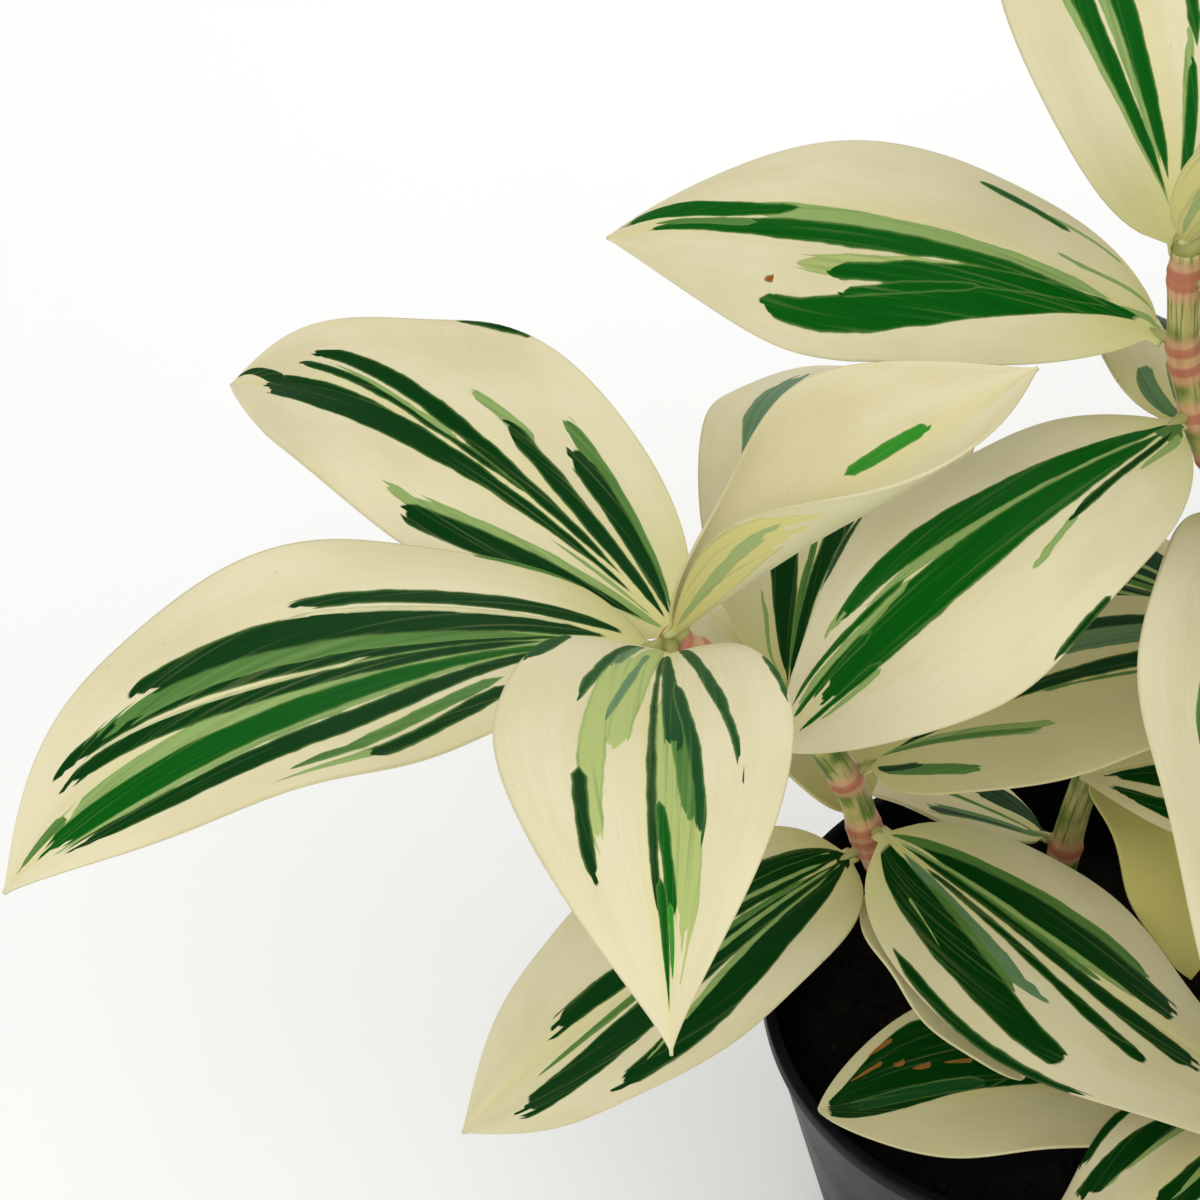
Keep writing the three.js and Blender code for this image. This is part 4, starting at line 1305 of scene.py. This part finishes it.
@dataclass(frozen=True)
class Stem:
    """A stem wrapped in its sheaths, with a short stalk to each of its leaves.

    Args:
        name: the stem's name among the measures.
        blades: the measures of its leaves, from the top down.
    """

    name: str
    blades: Sequence[Blade]
    base_radius: float = 4.3
    tip_radius: float = 3.3
    collar: float = 0.8
    slim_collar: float = 0.35
    collar_length: float = 2.2
    fit_gap: float = 0.3
    sides: int = 24
    step: float = 1.4
    sheath_step: float = 0.35
    sheath_length: float = 9.0
    redness_width: float = 3.6
    map_length: float = 100.0
    weld: float = 0.01
    stalk_reach: float = 5.0
    stalk_root: float = 2.0
    stalk_tip: float = 0.7
    stalk_sides: int = 14

    @cached_property
    def line(self) -> StemLine:
        """Its middle line."""
        return StemLine(STEMS[self.name])

    @cached_property
    def collars(self) -> list[float]:
        """The heights of its nodes."""
        return [blade.height for blade in self.blades if not blade.furled]

    def radius(self, height: float, collar: float) -> float:
        """The stem's radius at a height: a slow taper with a collar under each leaf.

        Args:
            height: the height.
            collar: how far a collar stands out.

        Returns:
            The radius without the sheath.
        """
        foot, top = STEMS[self.name][0][2], STEMS[self.name][-1][2]
        share = min(max((height - foot) / (top - foot), 0), 1)
        nearest = min(abs(height - node) for node in self.collars)
        swell = collar * math.exp(-((nearest / self.collar_length) ** 2))
        return mix(self.base_radius, self.tip_radius, share) + swell

    def sheath(self, height: float) -> float:
        """How far the sheath's flared mouth stands out, just below a node."""
        below = [node - height for node in self.collars if 0 <= node - height < self.sheath_length]
        return self.sheath_step * (1 - min(below) / self.sheath_length) if below else 0.0

    def redness(self, height: float) -> float:
        """How near a height is to a node, from 0 to 1."""
        return max(math.exp(-(((height - node) / self.redness_width) ** 2)) for node in self.collars)

    def root(self, blade: Blade) -> Vector:
        """Where a leaf's midrib starts, just off the skin or just off the tip.

        Args:
            blade: the leaf's measures.

        Returns:
            The point.
        """
        if blade.furled:
            tip, tangent = self.line.at_height(math.inf)
            return tip + tangent * (self.fit_gap + Leaf.thickness)
        point, tangent = self.line.at_height(blade.height)
        heading = math.radians(blade.heading)
        outward = Vector((math.cos(heading), math.sin(heading), 0))
        outward = (outward - tangent * outward.dot(tangent)).normalized()
        lift = abs(math.sin(math.radians(blade.rise))) * Leaf.thickness / 2
        return point + outward * (self.radius(point.z, self.collar) + self.fit_gap + lift)

    def add_tube(
        self, bm: bmesh.types.BMesh, chart: bmesh.types.BMLayerItem, red: bmesh.types.BMLayerItem,
    ) -> None:
        """Adds the stem itself: a rolled-up grid along the line, closed at both ends.

        Args:
            bm: the mesh under work.
            chart: the map around and along it.
            red: the layer for its redness.
        """
        stations = self.line.evenly(self.step)
        made = bmesh.ops.create_grid(bm, x_segments=self.sides, y_segments=len(stations) - 1, size=1)
        where = {}
        for vert in made["verts"]:
            turn = (vert.co.x + 1) / 2
            row = round((vert.co.y + 1) / 2 * (len(stations) - 1))
            centre, tangent = stations[row]
            right = (Vector((1, 0, 0)) - tangent * tangent.x).normalized()
            back = tangent.cross(right)
            radius = self.radius(centre.z, self.slim_collar) + self.sheath(centre.z)
            angle = turn * 2 * math.pi
            vert.co = centre + (right * math.cos(angle) + back * math.sin(angle)) * radius
            vert[red] = self.redness(centre.z)
            where[vert] = (turn, row * self.step / self.map_length)
        for face in bm.faces:
            for loop in face.loops:
                loop[chart].uv = where[loop.vert]
        bmesh.ops.remove_doubles(bm, verts=made["verts"], dist=self.weld)
        bmesh.ops.holes_fill(bm, edges=[edge for edge in bm.edges if edge.is_boundary], sides=0)

    def add_stalk(self, bm: bmesh.types.BMesh, blade: Blade, red: bmesh.types.BMLayerItem) -> None:
        """Adds the short stalk that carries one leaf, from inside the stem to under its midrib.

        Args:
            bm: the mesh under work.
            blade: the leaf's measures.
            red: the layer for its redness.
        """
        root = self.root(blade)
        leaf = Leaf("", blade, root)
        if blade.furled:
            tip, tangent = self.line.at_height(math.inf)
            start, wide = tip - tangent, self.tip_radius
        else:
            start, wide = self.line.at_height(blade.height)[0], self.stalk_root
        forward, _, up = leaf.axes(Leaf.stalk)
        end = root + forward * self.stalk_reach - up * self.stalk_tip
        axis = end - start
        made = bmesh.ops.create_cone(bm, cap_ends=True, segments=self.stalk_sides, radius1=wide,
                                     radius2=self.stalk_tip, depth=axis.length)
        turn = axis.to_track_quat("Z", "Y").to_matrix().to_4x4()
        bmesh.ops.transform(bm, matrix=Matrix.Translation((start + end) / 2) @ turn, verts=made["verts"])
        for vert in made["verts"]:
            vert[red] = 0.0

    def build(self, material: bpy.types.Material) -> bpy.types.Object:
        """Makes the stem with its stalks.

        Args:
            material: the look of its sheaths.

        Returns:
            The stem.
        """
        bm = bmesh.new()
        chart = bm.loops.layers.uv.new("sheath")
        red = bm.verts.layers.float.new("node")
        self.add_tube(bm, chart, red)
        for blade in self.blades:
            self.add_stalk(bm, blade, red)
        bmesh.ops.recalc_face_normals(bm, faces=bm.faces)
        return stand_for(finish_mesh(f"stem_{self.name}", bm, (material,)), f"stem_{self.name}")


@dataclass(frozen=True)
class Pot:
    """A round nursery pot with a tapered wall, a narrow rolled lip and holes in its floor."""

    height: float = 120
    rim_radius: float = 69
    base_radius: float = 44
    lip_height: float = 5
    lip_overhang: float = 1.2
    wall: float = 1.6
    floor: float = 2.4
    edge: float = 0.7
    wall_rows: tuple[float, ...] = (6, 40, 80)
    inner_row: float = 60
    shoulder: float = 0.4
    step: float = 0.1
    corner_steps: int = 4
    tolerance: float = 0.01
    holes: int = 6
    hole_radius: float = 5
    hole_circle: float = 30
    sides: int = 144
    hole_sides: int = 24

    def outer(self, height: float) -> float:
        """The outer radius of the tapered wall at a height."""
        share = height / (self.height - self.lip_height)
        return mix(self.base_radius, self.rim_radius - self.lip_overhang, share)

    def profile(self) -> list[tuple[float, float]]:
        """The wall's outline from its underside, over the lip and down to the floor inside.

        Returns:
            The radius and the height of each point.
        """
        foot = self.height - self.lip_height
        inner = self.outer(foot) - self.wall
        points = [(self.base_radius - self.edge, 0)]
        points += self.round_edge(self.base_radius - self.edge, self.edge, -90, 0)
        points += [(self.outer(row), row) for row in (*self.wall_rows, foot - self.shoulder)]
        points += [(self.outer(foot) + self.step, foot)]
        points += self.round_edge(self.rim_radius - self.edge, foot + self.edge, -90, 0)
        points += self.round_edge(self.rim_radius - self.edge, self.height - self.edge, 0, 90)
        points += self.round_edge(inner + self.edge, self.height - self.edge, 90, 180)
        points += [(inner, foot), (self.outer(self.inner_row) - self.wall, self.inner_row)]
        return points + [(self.outer(self.floor) - self.wall, self.floor)]

    def round_edge(self, radius: float, height: float, start: float, end: float) -> list[tuple[float, float]]:
        """A quarter turn of the rounded edge about its own middle.

        Args:
            radius, height: where the middle of the turn is.
            start, end: the angles that it runs between.

        Returns:
            The radius and the height of each point.
        """
        steps = self.corner_steps
        angles = [math.radians(mix(start, end, k / steps)) for k in range(steps + 1)]
        return [(radius + self.edge * math.cos(a), height + self.edge * math.sin(a)) for a in angles]

    def build(self, material: bpy.types.Material) -> bpy.types.Object:
        """Makes the pot.

        Args:
            material: the plastic's look.

        Returns:
            The pot.
        """
        bm = turned(self.profile(), self.sides)
        for level in (0, self.floor):
            for index in range(self.holes):
                self.add_hole_ring(bm, index, level)
            flat = [edge for edge in bm.edges if edge.is_boundary or not edge.link_faces]
            flat = [edge for edge in flat
                    if all(abs(vert.co.z - level) < self.tolerance for vert in edge.verts)]
            bmesh.ops.triangle_fill(bm, edges=flat, use_beauty=True)
        for index in range(self.holes):
            self.bridge_hole(bm, index)
        bmesh.ops.recalc_face_normals(bm, faces=bm.faces)
        return stand_for(finish_mesh("pot", bm, (material,)), "pot")

    def hole_centre(self, index: int) -> tuple[float, float]:
        """Where the middle of a hole is."""
        angle = (index + 0.5) / self.holes * 2 * math.pi
        return self.hole_circle * math.cos(angle), self.hole_circle * math.sin(angle)

    def add_hole_ring(self, bm: bmesh.types.BMesh, index: int, level: float) -> None:
        """Adds the round edge of one hole at a level.

        Args:
            bm: the mesh under work.
            index: the hole's number.
            level: the height.
        """
        x, y = self.hole_centre(index)
        bmesh.ops.create_circle(bm, segments=self.hole_sides, radius=self.hole_radius,
                                matrix=Matrix.Translation((x, y, level)))

    def bridge_hole(self, bm: bmesh.types.BMesh, index: int) -> None:
        """Joins the two round edges of one hole by its wall.

        Args:
            bm: the mesh under work.
            index: the hole's number.
        """
        x, y = self.hole_centre(index)

        def on_ring(vert: bmesh.types.BMVert) -> bool:
            """Whether a point lies on the hole's wall."""
            return abs(math.hypot(vert.co.x - x, vert.co.y - y) - self.hole_radius) < self.tolerance

        ring = [edge for edge in bm.edges if edge.is_boundary and all(map(on_ring, edge.verts))]
        bmesh.ops.bridge_loops(bm, edges=ring)


@dataclass(frozen=True)
class Soil:
    """The crumbly mound that fills the pot, with loose bits lying on it."""

    level: float = 104
    bevel: float = 4
    mound: float = 2.5
    crumb: float = 0.9
    coarse: float = 0.3
    fine: float = 0.2
    reach: float = 57
    floor: float = 2.7
    gap: float = 0.6
    rings: int = 44
    sides: int = 120
    rough_scale: float = 0.35
    rough_height: float = 0.9
    rough_margin: float = 0.3
    bits: int = 420
    bit_seed: int = 7
    bit_reach: float = 0.98
    bit_lift: float = 0.15
    bit_tilt: float = 0.6
    bit_radius: tuple[float, float] = (0.5, 1.9)
    bit_lumps: tuple[float, float] = (0.75, 1.2)
    bit_shape: tuple[tuple[float, float], ...] = ((0.8, 1.8), (0.5, 1), (0.3, 0.7))

    def relief(self, x: float, y: float) -> float:
        """How far the surface stands above or below its level.

        Args:
            x, y: the place.

        Returns:
            The height.
        """
        far = math.hypot(x, y) / self.reach
        crumbs = math.sin(self.coarse * x + 1) * math.cos(self.coarse * y) + math.sin(self.fine * (x - y))
        return self.mound * (0.5 - far * far) + self.crumb * crumbs

    def inner(self, height: float) -> float:
        """The soil's radius at a height of the pot's wall."""
        pot = Pot()
        return pot.outer(height) - pot.wall - self.gap

    def build(self, material: bpy.types.Material) -> bpy.types.Object:
        """Makes the body of the soil.

        Args:
            material: the mix's look.

        Returns:
            The body.
        """
        shoulder = self.level - self.bevel
        line = [(self.reach * k / self.rings, self.level) for k in range(self.rings + 1)]
        line += [(self.inner(shoulder), shoulder), (self.inner(self.floor), self.floor), (0, self.floor)]
        bm = turned(line, self.sides)
        for vert in bm.verts:
            if vert.co.z > shoulder + self.rough_margin:
                rough = noise.fractal(vert.co * self.rough_scale, 1.0, 2.2, 4) * self.rough_height
                vert.co.z += self.relief(vert.co.x, vert.co.y) + rough
        bmesh.ops.recalc_face_normals(bm, faces=bm.faces)
        return stand_for(finish_mesh("soil", bm, (material,)), "soil")

    def scatter(self, material: bpy.types.Material, soil: bpy.types.Object) -> bpy.types.Object:
        """Makes the loose bits of bark and crumbs on the surface.

        Args:
            material: the bits' look.
            soil: the body that they lie on.

        Returns:
            The bits as one piece.
        """
        draw = random.Random(self.bit_seed)
        bm = bmesh.new()
        for _ in range(self.bits):
            angle, far = draw.uniform(0, 2 * math.pi), self.reach * math.sqrt(draw.random()) * self.bit_reach
            x, y = far * math.cos(angle), far * math.sin(angle)
            size = draw.uniform(*self.bit_radius)
            made = bmesh.ops.create_icosphere(bm, subdivisions=1, radius=size)
            for vert in made["verts"]:
                vert.co *= draw.uniform(*self.bit_lumps)
            shape = Matrix.Diagonal((*(draw.uniform(*span) for span in self.bit_shape), 1))
            turn = Matrix.Rotation(draw.uniform(0, math.pi), 4, "Z")
            tilt = Matrix.Rotation(draw.uniform(-self.bit_tilt, self.bit_tilt), 4, "X")
            at = Matrix.Translation((x, y, self.level + self.relief(x, y) + size * self.bit_lift))
            bmesh.ops.transform(bm, matrix=at @ turn @ tilt @ shape, verts=made["verts"])
        bits = finish_mesh("soil_bits", bm, (material,))
        bits.parent = soil
        return bits


@dataclass(frozen=True)
class Studio:
    """The pale floor, the soft lights and the camera."""

    camera_place: Triple = (-108.5, -557.2, 929.9)
    elevation: float = 50
    lens: float = 120
    sensor: float = 36
    view_depth: float = 60
    floor_size: float = 40000
    aim_height: float = 200
    sky: float = 0.68
    lamps: tuple[tuple[str, Triple, float, float], ...] = (
        ("key", (-700, -900, 1500), 1300, 12),
        ("fill", (1100, -500, 900), 1200, 5),
        ("rim", (200, 1200, 1100), 1000, 4.5),
    )

    def build(self) -> None:
        """Sets the stage."""
        bm = bmesh.new()
        bmesh.ops.create_grid(bm, x_segments=1, y_segments=1, size=self.floor_size / 2)
        finish_mesh("studio_floor", bm, (FloorFinish().build(),))
        for lamp in self.lamps:
            self.light(*lamp)
        world = bpy.data.worlds.new("studio")
        world.use_nodes = True
        glow = world.node_tree.nodes["Background"].inputs
        glow["Color"].default_value = (1, 1, 1, 1)
        glow["Strength"].default_value = self.sky
        bpy.context.scene.world = world
        bpy.context.scene.view_settings.view_transform = "Standard"
        self.camera()

    def light(self, name: str, place: Triple, size: float, power: float) -> None:
        """Adds one soft square light that looks at the middle of the plant.

        Args:
            name: the light's name.
            place: where it stands.
            size: the length of its side.
            power: its strength in watts.
        """
        light = bpy.data.lights.new(name, "AREA")
        light.shape = "SQUARE"
        light.size = size * MM
        light.energy = power
        lamp = bpy.data.objects.new(name, light)
        lamp.location = Vector(place) * MM
        sight = Vector((0, 0, self.aim_height * MM)) - lamp.location
        lamp.rotation_euler = sight.to_track_quat("-Z", "Y").to_euler()
        bpy.context.scene.collection.objects.link(lamp)

    def camera(self) -> None:
        """Adds the camera at the photo's angle."""
        data = bpy.data.cameras.new("camera")
        data.lens = self.lens
        data.sensor_width = self.sensor
        data.clip_end = self.view_depth
        camera = bpy.data.objects.new("camera", data)
        camera.location = Vector(self.camera_place) * MM
        camera.rotation_euler = (math.radians(90 - self.elevation), 0, 0)
        bpy.context.scene.collection.objects.link(camera)
        bpy.context.scene.camera = camera


def main() -> None:
    """Builds every piece in order and notes how many faces each finer piece has."""
    logging.basicConfig(level=logging.INFO, format="%(message)s")
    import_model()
    Pot().build(PotFinish().build())
    soil = Soil().build(SoilFinish("soil_mix", (7, 6, 6), (20, 16, 12)).build())
    Soil().scatter(SoilFinish("soil_bark", (12, 9, 7), (46, 32, 22)).build(), soil)
    groups = {"blade": Cream().build(), "fibres": Fibres().build(), "streak": StreakLayer().build()}
    sheath = StemFinish().build()
    for order, (name, blades) in enumerate(LEAVES.items()):
        stem = Stem(name, blades)
        stem.build(sheath)
        for index, (blade, dress) in enumerate(zip(blades, WORN[name])):
            leaf = Leaf(f"leaf_{name}_{index + 1}", blade, stem.root(blade))
            look = BladeFinish(leaf.name, dress, False, order * 17.0 + index * 1.3)
            leaf.build(look.build(groups), replace(look, under=True).build(groups))
    Studio().build()


if __name__ == "__main__":
    main()
